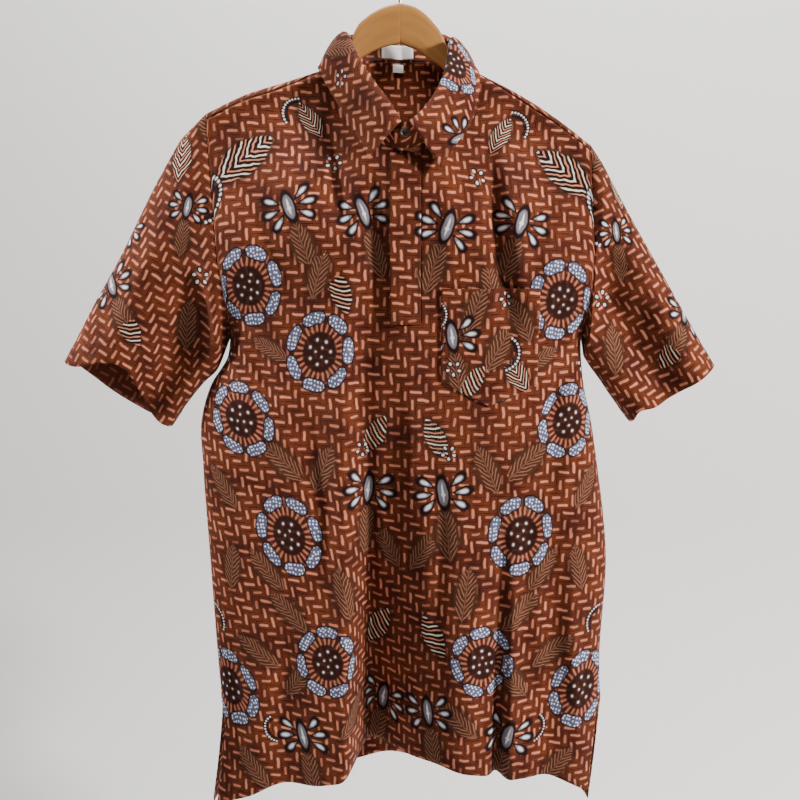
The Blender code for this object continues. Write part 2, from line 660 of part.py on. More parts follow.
def make_label(label_material, tab_material, shirt):
    """The blank neck label on the stand's inside, and the size tab that hangs under it."""
    patches = {"neck_label": (-0.0228, 0.0129, 0.1205, 0.1365, label_material),
               "size_tab": (-0.0100, 0.0014, 0.1425, 0.1515, tab_material)}
    for name, (left, right, top, bottom, material) in patches.items():
        rows = []
        for k in range(4):
            drop = mix(top, bottom, k / 3)
            row = []
            for c in range(7):
                x = mix(left, right, c / 6)
                along = abs(x) / (half_width(x, TOP_DROP) * NECK_SHARE) * BACK_NECK_END
                side = "left" if x < 0 else "right"
                seam = neck_seam(side, along)
                fold = fold_point(side, along)
                if name == "neck_label":
                    y = mix(fold, seam, (drop - 0.105) / 0.035)[1] - 0.0040
                else:
                    y = seam[1] - 0.0052
                row.append(np.array((x, y, -drop)))
            rows.append(row)
        cloth(name, rows, material, shirt, thickness=LABEL_CLOTH)


# ---- hanger ---------------------------------------------------------------------------------------
def arm_section(side, out):
    """A rounded oblong section of an arm, in a plane that faces along X."""
    sign = -1 if side == "left" else 1
    top = float(through(ARM_ROWS, ARMS.index(side + " top"))(out))
    under = float(through(ARM_ROWS, ARMS.index(side + " under"))(out))
    tip = 1 - 0.45 * ease((out - 0.178) / 0.018)
    forward = -float(ridge_forward(out))
    middle = (top + under) / 2
    tall = (under - top) / 2
    thick = ARM_THICK / 2 * tip
    points = []
    for k in range(16):
        turn = 2 * pi * k / 16 + pi / 16
        c, s = cos(turn), sin(turn)
        y = thick * abs(c) ** 0.6 * (1 if c > 0 else -1)
        z = tall * abs(s) ** 0.6 * (1 if s > 0 else -1)
        points.append((MITRE_X + sign * out, forward + y, -middle + z))
    return points


def make_hanger(wood, steel, shirt, cutters):
    outs = [SEAM_GAP / 2, 0.010, 0.020, 0.028, 0.036, 0.042, 0.048, 0.054, 0.057, 0.060, 0.066, 0.074, 0.088,
            0.110, 0.135, 0.160, 0.178, 0.190, 0.196]
    arms = [loft("hanger_arm_" + side, [arm_section(side, out) for out in outs], wood, shirt)
            for side in ("left", "right")]
    for arm in arms:
        arm.data.shade_smooth()
        arm.data.set_sharp_from_angle(angle=radians(50))
    bend = HOOK_BEND + HOOK_WIRE
    centre_drop = bend - HOOK_WIRE
    foot = [(MITRE_X, 0, -0.0975), (MITRE_X, 0, -0.080), (MITRE_X, 0, -0.066)]
    neck = [(-0.0010, 0, -0.0565), (0.0030, 0, -0.0480)]
    loop = []
    for k in range(17):
        turn = mix(radians(-62), radians(200), k / 16)
        loop.append((bend * cos(turn), 0, -centre_drop + bend * sin(turn)))
    path = foot + neck + loop
    curve = bpy.data.curves.new("hanger_hook", "CURVE")
    curve.dimensions = "3D"
    curve.bevel_depth = HOOK_WIRE
    curve.bevel_resolution = 3
    curve.use_fill_caps = True
    spline = curve.splines.new("POLY")
    spline.points.add(len(path) - 1)
    for point, place in zip(spline.points, path):
        point.co = (*place, 1)
    hook = bpy.data.objects.new("hanger_hook", curve)
    curve.materials.append(steel)
    shirt.objects.link(hook)
    bpy.ops.mesh.primitive_cylinder_add(radius=HOOK_WIRE + SEAM_GAP, depth=0.040, vertices=24)
    bore = bpy.context.object
    bore.name = "hook_bore"
    bore.location = (MITRE_X, 0, -0.0985 + 0.020)
    bpy.context.collection.objects.unlink(bore)
    cutters.objects.link(bore)
    for arm in arms:
        cut(arm, bore)


def main():
    for old in list(bpy.data.objects):
        bpy.data.objects.remove(old)
    shirt = new_collection("batik_shirt")
    cutters = new_collection("cutters")
    batik = new_material("batik_cotton", (0.20, 0.055, 0.025), 0.85)
    wood = new_material("hanger_wood", (0.48, 0.24, 0.08), 0.45)
    steel = new_material("hook_steel", (0.62, 0.62, 0.60), 0.28, 1.0)
    horn = new_material("dark_button", (0.035, 0.015, 0.010), 0.35)
    woven = new_material("label_weave", (0.46, 0.46, 0.47), 0.7)
    tape = new_material("white_tape", (0.80, 0.80, 0.78), 0.8)
    make_front(batik, shirt, cutters)
    make_back(batik, shirt)
    for side in ("left", "right"):
        make_sleeve(side, batik, shirt)
    make_collar_stand(batik, shirt)
    make_collar_fall(batik, shirt)
    make_placket(batik, shirt)
    make_pocket(batik, shirt)
    make_button(horn, shirt, cutters)
    make_label(woven, tape, shirt)
    make_hanger(wood, steel, shirt, cutters)


main()
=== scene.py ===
# %% [markdown]
# # A batik shirt on a wooden hanger
# This lesson dresses a plain working model of a short-sleeved batik pullover. The model gives the
# frame: where the hanger, the collar and each cut piece of cloth lie. Each step below makes one
# piece again at full quality, says what it is on the real shirt, and why it is made this way.

# %% Load the frame
from math import cos, pi, radians, sin

import bmesh
import bpy
import numpy as np
from mathutils import Matrix, Vector


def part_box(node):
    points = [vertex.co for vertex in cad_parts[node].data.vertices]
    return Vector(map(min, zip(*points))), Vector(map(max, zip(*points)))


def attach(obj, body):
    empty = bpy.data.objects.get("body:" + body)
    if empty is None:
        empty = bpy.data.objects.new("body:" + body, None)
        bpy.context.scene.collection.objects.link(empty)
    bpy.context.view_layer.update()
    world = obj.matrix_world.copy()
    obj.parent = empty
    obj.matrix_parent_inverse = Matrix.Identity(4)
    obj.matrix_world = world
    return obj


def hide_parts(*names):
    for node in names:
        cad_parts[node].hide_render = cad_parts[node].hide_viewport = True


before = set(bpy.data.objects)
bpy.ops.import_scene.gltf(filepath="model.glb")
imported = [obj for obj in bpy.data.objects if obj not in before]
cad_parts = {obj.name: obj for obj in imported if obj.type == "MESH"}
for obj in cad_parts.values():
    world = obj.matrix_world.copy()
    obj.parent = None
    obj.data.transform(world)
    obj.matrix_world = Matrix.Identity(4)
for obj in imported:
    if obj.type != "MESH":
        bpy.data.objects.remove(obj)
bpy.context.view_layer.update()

print("nodes", sorted(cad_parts))

# %% [markdown]
# ## The form of the shirt
# A hung shirt is a flattened tube: two panels that meet at the side seams, narrow where they lie
# over the hanger and fuller below. A few short tables give its sides, its depth and its shoulder
# line. A smooth curve through each column turns them into a form that can be asked for any point,
# so the same functions serve coarse solids and fine cloth.

# %% Sizes of the form
CLOTH = 0.0010
SEAM_GAP = 0.0003
TOP_DROP = 0.150
NECK_SHARE = 0.315
NECK_CENTRE_DROP = 0.245
BACK_NECK_DROP = 0.140
SHOULDER_RIDGE = 0.010
SHOULDER_SEAM = 0.008
NECK_POINT_SEAM = 0.0004
UNDERARM_DROP = 0.455
VENT_DROP = 0.870
FRONT_RISE = 0.20
BACK_RISE = 0.08
ROUNDNESS = 2.7
BACK_NECK_END = 0.30
FRONT_NECK_START = 0.34
FOLD_LIFT = 0.004
PLACKET_LEFT = -0.0130
PLACKET_RIGHT = 0.0210
PLACKET_DROP = 0.434

SIDES = ("drop", "left", "right")
SIDE_ROWS = [
    (0.150, 0.2160, 0.2080), (0.210, 0.2150, 0.2080), (0.300, 0.2075, 0.2105),
    (0.360, 0.2025, 0.2120), (0.420, 0.1965, 0.2080), (0.455, 0.1970, 0.2050),
    (0.475, 0.2005, 0.2060), (0.507, 0.2200, 0.2100), (0.545, 0.2315, 0.2185),
    (0.600, 0.2310, 0.2275), (0.700, 0.2256, 0.2396), (0.830, 0.2181, 0.2347),
    (0.890, 0.2146, 0.2365), (0.950, 0.2195, 0.2318), (1.010, 0.2275, 0.2255),
]
DEPTHS = ("drop", "front", "back")
DEPTH_ROWS = [
    (0.150, 0.074, 0.050), (0.245, 0.092, 0.052), (0.320, 0.086, 0.052), (0.450, 0.074, 0.056),
    (0.620, 0.070, 0.062), (0.800, 0.068, 0.064), (1.010, 0.066, 0.062),
]
HEM = ("share", "drop")
HEM_ROWS = [
    (-1.00, 1.0050), (-0.80, 0.9860), (-0.69, 0.9740), (-0.55, 0.9690), (-0.40, 0.9670),
    (-0.31, 0.9600), (-0.24, 0.9460), (-0.10, 0.9440), (0.12, 0.9450), (0.28, 0.9500),
    (0.48, 0.9600), (0.84, 0.9700), (1.00, 0.9900),
]
SHOULDERS = ("out", "left drop", "right drop", "forward")
SHOULDER_ROWS = [
    (0.000, 0.086, 0.086, 0.000), (0.036, 0.108, 0.110, 0.002), (0.068, 0.148, 0.149, 0.006),
    (0.088, 0.154, 0.159, 0.009), (0.130, 0.168, 0.181, 0.015), (0.173, 0.182, 0.209, 0.021),
    (0.216, 0.203, 0.243, 0.026), (0.260, 0.226, 0.280, 0.030),
]


def through(rows, column):
    """A smooth curve of one column of a table over its first column."""
    xs = np.array([row[0] for row in rows])
    ys = np.array([row[column] for row in rows])
    slopes = np.gradient(ys, xs)

    def at(x):
        x = np.clip(x, xs[0], xs[-1])
        i = np.clip(np.searchsorted(xs, x) - 1, 0, len(xs) - 2)
        span = xs[i + 1] - xs[i]
        t = (x - xs[i]) / span
        ends = ys[i] * (1 + 2 * t) * (1 - t) ** 2 + ys[i + 1] * t * t * (3 - 2 * t)
        return ends + span * t * (1 - t) * (slopes[i] * (1 - t) - slopes[i + 1] * t)

    return at


def ease(t):
    """0 to 1 with a soft start and end."""
    t = np.clip(t, 0.0, 1.0)
    return t * t * (3 - 2 * t)


def mix(a, b, t):
    return a + (b - a) * t


def unit(vectors):
    return vectors / np.maximum(np.linalg.norm(vectors, axis=-1, keepdims=True), 1e-6)


def lengths_along(points, axis):
    """How far each point of a grid lies from the first one, as measured along the cloth."""
    steps = np.linalg.norm(np.diff(points, axis=axis), axis=2)
    start = np.zeros((1, points.shape[1]) if axis == 0 else (len(points), 1))
    return np.concatenate([start, np.cumsum(steps, axis=axis)], axis=axis)


def sign_of(side):
    return -1 if side == "left" else 1


def add_object(name, data):
    made = bpy.data.objects.new(name, data)
    bpy.context.collection.objects.link(made)
    return made


left_edge = through(SIDE_ROWS, SIDES.index("left"))
right_edge = through(SIDE_ROWS, SIDES.index("right"))
depth_of = {name: through(DEPTH_ROWS, DEPTHS.index(name)) for name in ("front", "back")}
ridge_left = through(SHOULDER_ROWS, SHOULDERS.index("left drop"))
ridge_right = through(SHOULDER_ROWS, SHOULDERS.index("right drop"))
ridge_forward = through(SHOULDER_ROWS, SHOULDERS.index("forward"))
hem_curve = through(HEM_ROWS, HEM.index("drop"))


def half_width(share, drop):
    return np.where(share < 0, left_edge(drop), right_edge(drop))


def ridge_drop(x):
    return np.where(x < 0, ridge_left(np.abs(x)), ridge_right(np.abs(x)))


def seam_below(x):
    return mix(NECK_POINT_SEAM, SHOULDER_SEAM, ease((np.abs(x) - 0.068) / 0.08))


print("chest width", round(float(left_edge(0.5) + right_edge(0.5)), 3), "m between the side seams")

# %% [markdown]
# ## Folds and creases
# The large folds belong to the working model: the deep trough down the middle, the ridge to its
# left, the pleat on the right. Crisp cotton also keeps many smaller creases, which are only looks.
# They are placed one by one, each as a soft line with its own length, depth and widths, because real
# creases are uneven: a few long ones from the shoulders, short ones at the underarms, and the
# faint lines that ironing and folding leave.

# %% The folds of the model
# Columns: panel, x top, drop top, x bottom, drop bottom, out, left, right, grows.
FOLD_ROWS = [
    ("front", -0.028, 0.470, -0.038, 1.000, -0.070, 0.026, 0.085, 1.0),
    ("front", -0.054, 0.240, -0.064, 1.000, 0.013, 0.030, 0.018, 0.4),
    ("front", -0.030, 0.225, -0.026, 0.455, -0.010, 0.016, 0.013, 0.0),
    ("front", 0.108, 0.700, 0.110, 1.000, -0.013, 0.010, 0.020, 0.7),
    ("front", 0.086, 0.200, 0.128, 0.430, -0.010, 0.016, 0.020, 0.0),
    ("front", -0.084, 0.185, -0.066, 0.330, -0.009, 0.014, 0.018, 0.0),
    ("front", -0.165, 0.300, -0.130, 1.000, -0.012, 0.030, 0.034, 0.6),
    ("front", 0.176, 0.330, 0.168, 1.000, -0.013, 0.030, 0.028, 0.6),
    ("front", 0.062, 0.440, 0.066, 1.000, 0.010, 0.034, 0.030, 0.5),
    ("back", 0.000, 0.240, -0.010, 1.010, 0.016, 0.060, 0.060, 0.6),
    ("back", -0.095, 0.260, -0.105, 1.010, -0.024, 0.042, 0.050, 0.8),
    ("back", 0.100, 0.280, 0.120, 1.010, -0.026, 0.050, 0.040, 0.8),
    ("back", -0.170, 0.420, -0.168, 1.010, 0.012, 0.030, 0.024, 0.5),
    ("back", 0.178, 0.400, 0.184, 1.010, 0.010, 0.026, 0.024, 0.5),
]

# %% The creases of the cloth
# Columns: panel, x from, drop from, x to, drop to, out, width.
CREASE_ROWS = [
    ("front", 0.084, 0.180, 0.121, 0.450, -0.0075, 0.009),
    ("front", 0.103, 0.180, 0.141, 0.450, 0.0050, 0.011),
    ("front", -0.086, 0.170, -0.062, 0.340, -0.0060, 0.009),
    ("front", -0.041, 0.380, -0.047, 1.250, -0.0130, 0.016),
    ("front", -0.062, 0.380, -0.066, 1.250, 0.0050, 0.010),
    ("front", -0.018, 0.400, -0.016, 1.250, -0.0060, 0.024),
    ("front", 0.112, 0.640, 0.113, 1.150, -0.0070, 0.007),
    ("front", 0.124, 0.640, 0.127, 1.150, 0.0040, 0.009),
    ("front", -0.185, 0.225, -0.120, 0.420, -0.0045, 0.011),
    ("front", -0.150, 0.200, -0.105, 0.330, 0.0030, 0.010),
    ("front", 0.182, 0.260, 0.130, 0.400, -0.0050, 0.010),
    ("front", 0.150, 0.215, 0.118, 0.330, 0.0035, 0.009),
    ("front", -0.192, 0.470, -0.120, 0.520, -0.0040, 0.008),
    ("front", -0.200, 0.520, -0.110, 0.640, 0.0030, 0.010),
    ("front", 0.200, 0.470, 0.150, 0.560, -0.0045, 0.008),
    ("front", 0.214, 0.560, 0.140, 0.700, 0.0034, 0.011),
    ("front", -0.100, 0.480, -0.088, 0.760, -0.0040, 0.012),
    ("front", -0.142, 0.600, -0.150, 0.900, 0.0042, 0.013),
    ("front", 0.036, 0.560, 0.052, 0.860, -0.0038, 0.010),
    ("front", 0.085, 0.660, 0.080, 0.940, 0.0045, 0.011),
    ("front", 0.140, 0.620, 0.150, 0.930, -0.0046, 0.012),
    ("front", 0.196, 0.700, 0.204, 0.960, 0.0040, 0.010),
    ("front", -0.190, 0.760, -0.196, 0.980, -0.0045, 0.010),
    ("front", -0.036, 0.520, -0.040, 0.820, -0.0040, 0.008),
    ("front", 0.010, 0.480, 0.012, 0.660, 0.0026, 0.009),
    ("front", 0.048, 0.260, 0.052, 0.390, 0.0022, 0.010),
    ("front", -0.075, 0.330, -0.082, 0.470, 0.0026, 0.012),
    ("front", -0.150, 0.700, -0.070, 0.712, -0.0010, 0.004),
    ("front", 0.060, 0.704, 0.180, 0.696, -0.0010, 0.004),
    ("back", -0.180, 0.225, -0.110, 0.380, -0.0045, 0.012),
    ("back", 0.176, 0.250, 0.120, 0.400, -0.0045, 0.012),
    ("back", -0.060, 0.190, -0.048, 0.420, 0.0032, 0.013),
    ("back", 0.055, 0.190, 0.060, 0.400, -0.0032, 0.012),
    ("back", -0.190, 0.480, -0.120, 0.590, -0.0045, 0.010),
    ("back", 0.194, 0.480, 0.130, 0.600, -0.0045, 0.010),
    ("back", -0.050, 0.520, -0.040, 0.900, -0.0050, 0.014),
    ("back", 0.046, 0.600, 0.050, 0.960, 0.0048, 0.013),
    ("back", -0.140, 0.620, -0.150, 0.960, 0.0045, 0.013),
    ("back", 0.150, 0.560, 0.152, 0.900, -0.0046, 0.012),
    ("back", 0.010, 0.700, 0.016, 1.000, -0.0040, 0.012),
    ("back", -0.100, 0.702, 0.120, 0.698, -0.0010, 0.004),
]


def fold_depth(panel, x, drop):
    """The large folds at one place: positive stands out."""
    total = np.zeros(np.broadcast(x, drop).shape)
    for name, x_top, drop_top, x_bottom, drop_bottom, out, left, right, grows in FOLD_ROWS:
        if name != panel:
            continue
        down = (drop - drop_top) / (drop_bottom - drop_top)
        if grows == 0:
            strength = np.sin(pi * np.clip(down, 0, 1))
            width = 1.0
        else:
            strength = ease(down) ** grows
            width = mix(0.55, 1.0, np.clip(down, 0, 1))
        aside = x - mix(x_top, x_bottom, down)
        reach = aside / (width * np.where(aside < 0, left, right))
        total = total + out * strength / (1 + reach ** 2) ** 2
    return total


def crease_depth(panel, x, drop):
    """The small creases at one place. Each fades at its ends and wanders a little."""
    total = np.zeros(np.broadcast(x, drop).shape)
    for number, (name, x_from, drop_from, x_to, drop_to, out, width) in enumerate(CREASE_ROWS):
        if name != panel:
            continue
        run = np.array((x_to - x_from, drop_to - drop_from))
        length = np.hypot(*run)
        run = run / length
        along = ((x - x_from) * run[0] + (drop - drop_from) * run[1]) / length
        wander = 0.35 * width * np.sin(7 * along + number)
        aside = ((x - x_from) * -run[1] + (drop - drop_from) * run[0] + wander) / width
        fade = np.sin(pi * np.clip(along, 0, 1)) ** 0.8
        total = total + 1.7 * out * fade * np.exp(-aside ** 2)
    ripple = 0.0010 * np.sin(61 * x + 9 * drop) * np.sin(23 * drop - 17 * x)
    return total + ripple


# %% Any point of the body
def body_y(panel, share, drop, creased=True):
    """How far to the front (negative) or back a panel lies, share from -1 (left) to 1 (right)."""
    x = share * half_width(share, drop)
    below = np.maximum(drop - ridge_drop(x), 0.0)
    rise = ease(below / (FRONT_RISE if panel == "front" else BACK_RISE * 2))
    if panel == "back":
        neck_rise = mix(ease(below / BACK_RISE), rise, np.clip(share / NECK_SHARE, -1, 1) ** 2)
        rise = np.where(np.abs(share) < NECK_SHARE, neck_rise, rise)
    ridge_part = SHOULDER_RIDGE * (1 - (1 - np.minimum(below / SHOULDER_RIDGE, 1)) ** 2) ** 0.5
    open_share = 1 - 0.13 * ease((UNDERARM_DROP - drop) / 0.09)
    side = (1 - np.minimum(np.abs(share) * open_share, 1.0) ** ROUNDNESS) ** (1 / ROUNDNESS)
    folds = fold_depth(panel, x, drop)
    if creased:
        folds = folds + crease_depth(panel, x, drop)
    folds = folds * np.minimum(side * 1.4, 1.0) * rise
    out = ridge_part * (1 - rise) + depth_of[panel](drop) * rise * side + folds
    middle = -ridge_forward(np.abs(x)) * (1 - ease(below / 0.30))
    return middle - out if panel == "front" else middle + out


def body_point(panel, share, drop, out=0.0, creased=True):
    """Points of a panel, moved out from the body by a small distance."""
    share = np.asarray(share, float)
    drop = np.asarray(drop, float)
    x = share * half_width(share, drop)
    y = body_y(panel, share, drop, creased) + (-out if panel == "front" else out)
    return np.stack(np.broadcast_arrays(x, y, -drop), axis=-1)


print(len(FOLD_ROWS), "folds and", len(CREASE_ROWS), "creases")

# %% [markdown]
# ## How a print lies on the cloth
# A printed repeat is flat before the shirt is sewn. To carry it onto the folded form without
# stretching, each panel is measured as a tape would measure it: across from the middle of the
# shirt, and down its length. Those two lengths, in metres, become the panel's own UV map.

# %% Panel edges and cloth lengths
def neck_point_drop(share):
    side = np.where(np.asarray(share) < 0, -1.0, 1.0)
    return ridge_drop(side * NECK_SHARE * half_width(side, TOP_DROP))


def front_top(share):
    """The front's upper edge: shoulder seams and the neck hole between them."""
    share = np.asarray(share, float)
    x = share * half_width(share, TOP_DROP)
    inside = np.clip(np.abs(share) / NECK_SHARE, 0, 1)
    dip = (1 - inside ** 2.2) ** 0.62
    neck = mix(neck_point_drop(share) + NECK_POINT_SEAM, NECK_CENTRE_DROP, dip)
    return np.where(np.abs(share) >= NECK_SHARE, ridge_drop(x) + seam_below(x), neck)


def back_top(share):
    """The back's neck edge."""
    share = np.asarray(share, float)
    return mix(BACK_NECK_DROP, neck_point_drop(share), (share / NECK_SHARE) ** 2)


def front_hem(share):
    return hem_curve(share) + 0.0008 * np.sin(23 * share + 0.6)


def back_hem(share):
    return 0.985 + 0.028 * np.abs(share) ** 4 + 0.0020 * np.sin(17 * share)


SHARE_GRID = np.linspace(-1, 1, 401)
DROP_GRID = np.linspace(0.08, 1.03, 191)


def cloth_lengths(panel):
    """Cloth length across from the middle, and down, at each place of two even grids."""
    points = body_point(panel, SHARE_GRID[None, :], DROP_GRID[:, None], creased=False)
    across, down = lengths_along(points, 1), lengths_along(points, 0)
    middle = len(SHARE_GRID) // 2
    across = across - across[:, middle:middle + 1]
    level = np.searchsorted(DROP_GRID, UNDERARM_DROP)
    return across, down - down[level] + UNDERARM_DROP


def look_up(grid, share, drop):
    """The value of an even grid between its points."""
    c = np.clip((share + 1) / 2 * (len(SHARE_GRID) - 1), 0, len(SHARE_GRID) - 1.001)
    r = (drop - DROP_GRID[0]) / (DROP_GRID[-1] - DROP_GRID[0]) * (len(DROP_GRID) - 1)
    r = np.clip(r, 0, len(DROP_GRID) - 1.001)
    c0, r0 = c.astype(int), r.astype(int)
    fc, fr = c - c0, r - r0
    upper = mix(grid[r0, c0], grid[r0, c0 + 1], fc)
    lower = mix(grid[r0 + 1, c0], grid[r0 + 1, c0 + 1], fc)
    return mix(upper, lower, fr)


lengths = {panel: cloth_lengths(panel) for panel in ("front", "back")}


def print_place(panel, share, drop):
    """Where a place of a panel lies on the flat print."""
    share, drop = np.broadcast_arrays(np.asarray(share, float), np.asarray(drop, float))
    across, down = lengths[panel]
    return np.stack([look_up(across, share, drop), look_up(down, share, drop)], axis=-1)


for panel in lengths:
    edges = print_place(panel, np.array([-1.0, 1.0]), np.array([0.6, 0.6]))
    print(panel, "cloth across at the waist", round(float(edges[1, 0] - edges[0, 0]), 3), "m")

# %% [markdown]
# ## The motifs of the print
# The design is a brick-like herringbone of small strokes, and over it large dotted flowers, sprigs
# of drops, striped leaves, dark feather leaves and beaded crescents. It is drawn afresh here from
# simple rules. The two halves of the shirt mirror each other, so one short table places most of
# the motifs by where their middles lie, and a loop puts each on both sides.

# %% Tables of motifs
# Columns: kind, out, drop, turn, size, tone.
BOTH_HALVES = [
    ("flower", 0.172, 0.392, 8, 1.00, 0.1), ("flower", 0.094, 0.464, -12, 1.00, 0.3),
    ("flower", 0.184, 0.540, 25, 0.95, 0.5), ("flower", 0.131, 0.672, 0, 1.00, 0.7),
    ("flower", 0.088, 0.818, -30, 0.95, 0.2), ("flower", 0.205, 0.858, 14, 1.00, 0.9),
    ("sprig", 0.126, 0.306, 20, 1.00, 0.2), ("sprig", 0.045, 0.312, 18, 1.00, 0.6),
    ("sprig", 0.042, 0.622, -8, 1.05, 0.4), ("sprig", 0.118, 0.910, 10, 1.00, 0.8),
    ("sprig", 0.026, 0.884, -10, 1.00, 0.1), ("brown", 0.198, 0.712, -14, 0.95, 0.5),
    ("striped", 0.178, 0.254, -50, 1.50, 0.9), ("striped", 0.104, 0.212, 28, 0.85, 0.7),
    ("striped", 0.070, 0.398, 20, 0.90, 0.4), ("striped", 0.034, 0.558, -28, 0.90, 0.5),
    ("striped", 0.032, 0.792, -30, 1.00, 0.2), ("brown", 0.156, 0.715, 34, 1.00, 0.9),
    ("brown", 0.136, 0.588, 48, 1.10, 0.1), ("brown", 0.092, 0.596, -24, 1.05, 0.3),
    ("brown", 0.068, 0.738, 5, 1.10, 0.5), ("brown", 0.132, 0.762, 40, 1.05, 0.7),
    ("brown", 0.122, 0.842, -42, 1.00, 0.9), ("brown", 0.060, 0.888, -50, 1.05, 0.2),
    ("brown", 0.168, 0.812, 52, 1.00, 0.4), ("brown", 0.094, 0.378, -12, 1.00, 0.6),
    ("brown", 0.206, 0.620, 30, 0.95, 0.8), ("brown", 0.150, 0.462, 62, 0.85, 0.3),
    ("brown", 0.020, 0.690, 30, 1.00, 0.6), ("brown", 0.176, 0.952, 38, 1.00, 0.6),
    ("beads", 0.206, 0.282, -68, 1.30, 0.2), ("beads", 0.132, 0.196, 60, 0.90, 0.7),
    ("beads", 0.214, 0.772, -60, 0.90, 0.6), ("beads", 0.160, 0.905, 100, 0.85, 0.8),
    ("dots", 0.048, 0.575, 0, 0.90, 0.2), ("dots", 0.200, 0.470, 20, 1.00, 0.5),
    ("dots", 0.078, 0.258, 10, 1.00, 0.9),
]
ON_SLEEVE = [
    ("sprig", 0.040, 0.100, 20, 0.74, 0.3), ("sprig", 0.100, 0.158, -10, 0.80, 0.7),
    ("sprig", 0.078, 0.222, 60, 0.95, 0.2), ("striped", 0.078, 0.060, 30, 1.00, 0.9),
    ("beads", 0.012, 0.078, -68, 1.30, 0.4), ("beads", 0.000, 0.010, 60, 1.00, 0.9),
    ("dots", -0.012, 0.158, 0, 1.05, 0.3), ("dots", -0.066, 0.112, 45, 1.05, 0.6),
    ("brown", -0.030, 0.215, 28, 1.05, 0.3), ("brown", -0.046, 0.066, -20, 1.00, 0.7),
    ("brown", 0.070, 0.016, 60, 1.00, 0.2), ("striped", 0.030, 0.250, 62, 0.90, 0.3),
    ("flower", 0.190, 0.070, 0, 1.00, 0.5), ("flower", 0.250, 0.190, 20, 1.00, 0.2),
    ("brown", 0.150, 0.180, 30, 1.05, 0.7), ("sprig", 0.260, 0.090, 0, 1.00, 0.4),
    ("striped", 0.190, 0.215, 15, 0.90, 0.4), ("brown", 0.300, 0.160, -15, 1.00, 0.6),
    ("beads", 0.140, 0.110, 30, 1.00, 0.5), ("dots", 0.230, 0.130, 10, 1.00, 0.6),
]
ON_POCKET = [
    ("sprig", 0.012, 0.052, -8, 0.95, 0.4), ("beads", 0.004, 0.026, 80, 0.80, 0.3),
    ("striped", 0.034, 0.104, 35, 0.85, 0.5), ("brown", 0.036, 0.026, 18, 1.05, 0.2),
    ("brown", 0.064, 0.066, 28, 1.05, 0.7), ("striped", 0.084, 0.095, -30, 0.90, 0.8),
    ("beads", 0.084, 0.074, 100, 1.00, 0.6), ("dots", 0.014, 0.088, 0, 0.90, 0.4),
    ("brown", 0.088, 0.034, -24, 0.95, 0.9), ("dots", 0.070, 0.012, 20, 0.90, 0.3),
]
ON_COLLAR = [
    ("striped", 0.060, 0.030, 70, 0.80, 0.3), ("brown", 0.150, 0.020, 50, 0.90, 0.6),
    ("beads", 0.105, 0.030, 100, 0.80, 0.4), ("dots", 0.180, 0.034, 0, 0.90, 0.8),
    ("sprig", 0.020, 0.036, 60, 0.80, 0.2),
]
ON_RIGHT_LEAF = [
    ("flower", 0.168, 0.012, 20, 0.80, 0.3), ("sprig", 0.236, 0.058, 60, 0.80, 0.5),
]
KINDS = ("flower", "sprig", "leaf", "beads", "dots")
FAR = 9.0


def both_sides(rows, panel):
    """The motifs of a body panel as (kind, across, down, turn, size, tone) on the flat print."""
    placed = []
    for kind, out, drop, turn, size, tone in rows:
        for side in (-1, 1):
            lower = drop + (0.016 * float(ease((0.62 - drop) / 0.25)) if side > 0 else 0.0)
            x = side * out + 0.004
            share = x / half_width(np.array(x), lower)
            across, down = print_place(panel, share, lower)
            placed.append((kind, across, down, side * turn, size, tone))
    return placed


def mirrored(rows, side):
    return [(kind, side * out, down, side * turn, size, tone)
            for kind, out, down, turn, size, tone in rows]


def with_feathers(rows):
    """Each sprig grows out of a dark feather leaf below it."""
    leaves = []
    for kind, across, down, turn, size, tone in rows:
        if kind == "sprig":
            a = radians(turn)
            drawn_down = 0.046 * size
            leaves.append(("brown", across - drawn_down * sin(a), down + drawn_down * cos(a),
                           turn, 1.05 * size, tone))
    return rows + leaves


print(len(BOTH_HALVES) * 2, "motifs on each panel before the feather leaves")

# %% [markdown]
# ## Making a piece of cloth
# Every cloth piece is a fine grid of points with a thin wall behind it. The grid stores the UV map
# and, for each kind of motif, where each corner of each face lies from the middle of the nearest
# one. The nearest motif is chosen once for a whole face, so no face is torn between two of them.

# %% Cloth helpers
pieces = {}


def write_print(mesh, uv, motifs):
    """Stores the UV map and the motif attributes on the corners of a mesh."""
    corner_vertex = np.zeros(len(mesh.loops), int)
    mesh.loops.foreach_get("vertex_index", corner_vertex)
    corner_uv = uv[corner_vertex]
    layer = mesh.uv_layers.new(name="cloth")
    layer.data.foreach_set("uv", corner_uv.astype(np.float32).ravel())
    starts = np.zeros(len(mesh.polygons), int)
    mesh.polygons.foreach_get("loop_start", starts)
    middle = (corner_uv[starts] + corner_uv[starts + 2]) / 2
    owner = np.repeat(np.arange(len(starts)), np.diff(np.append(starts, len(mesh.loops))))
    for kind in KINDS:
        names = ("striped", "brown") if kind == "leaf" else (kind,)
        rows = np.array([[row[1], row[2], row[3], row[4], row[5], row[0] == "striped"]
                         for row in motifs if row[0] in names], float).reshape(-1, 6)
        values = np.full((len(mesh.loops), 3), FAR)
        if len(rows):
            gap = np.linalg.norm(middle[:, None, :] - rows[None, :, :2], axis=2)
            near = rows[np.argmin(gap / rows[None, :, 3], axis=1)][owner]
            away = corner_uv - near[:, :2]
            turn = np.radians(near[:, 2])
            values[:, 0] = (away[:, 0] * np.cos(turn) + away[:, 1] * np.sin(turn)) / near[:, 3]
            values[:, 1] = (away[:, 0] * np.sin(turn) - away[:, 1] * np.cos(turn)) / near[:, 3]
            values[:, 2] = near[:, 4] * 0.5 + 0.5 * near[:, 5]
        attribute = mesh.attributes.new(kind, "FLOAT_VECTOR", "CORNER")
        attribute.data.foreach_set("vector", values.astype(np.float32).ravel())


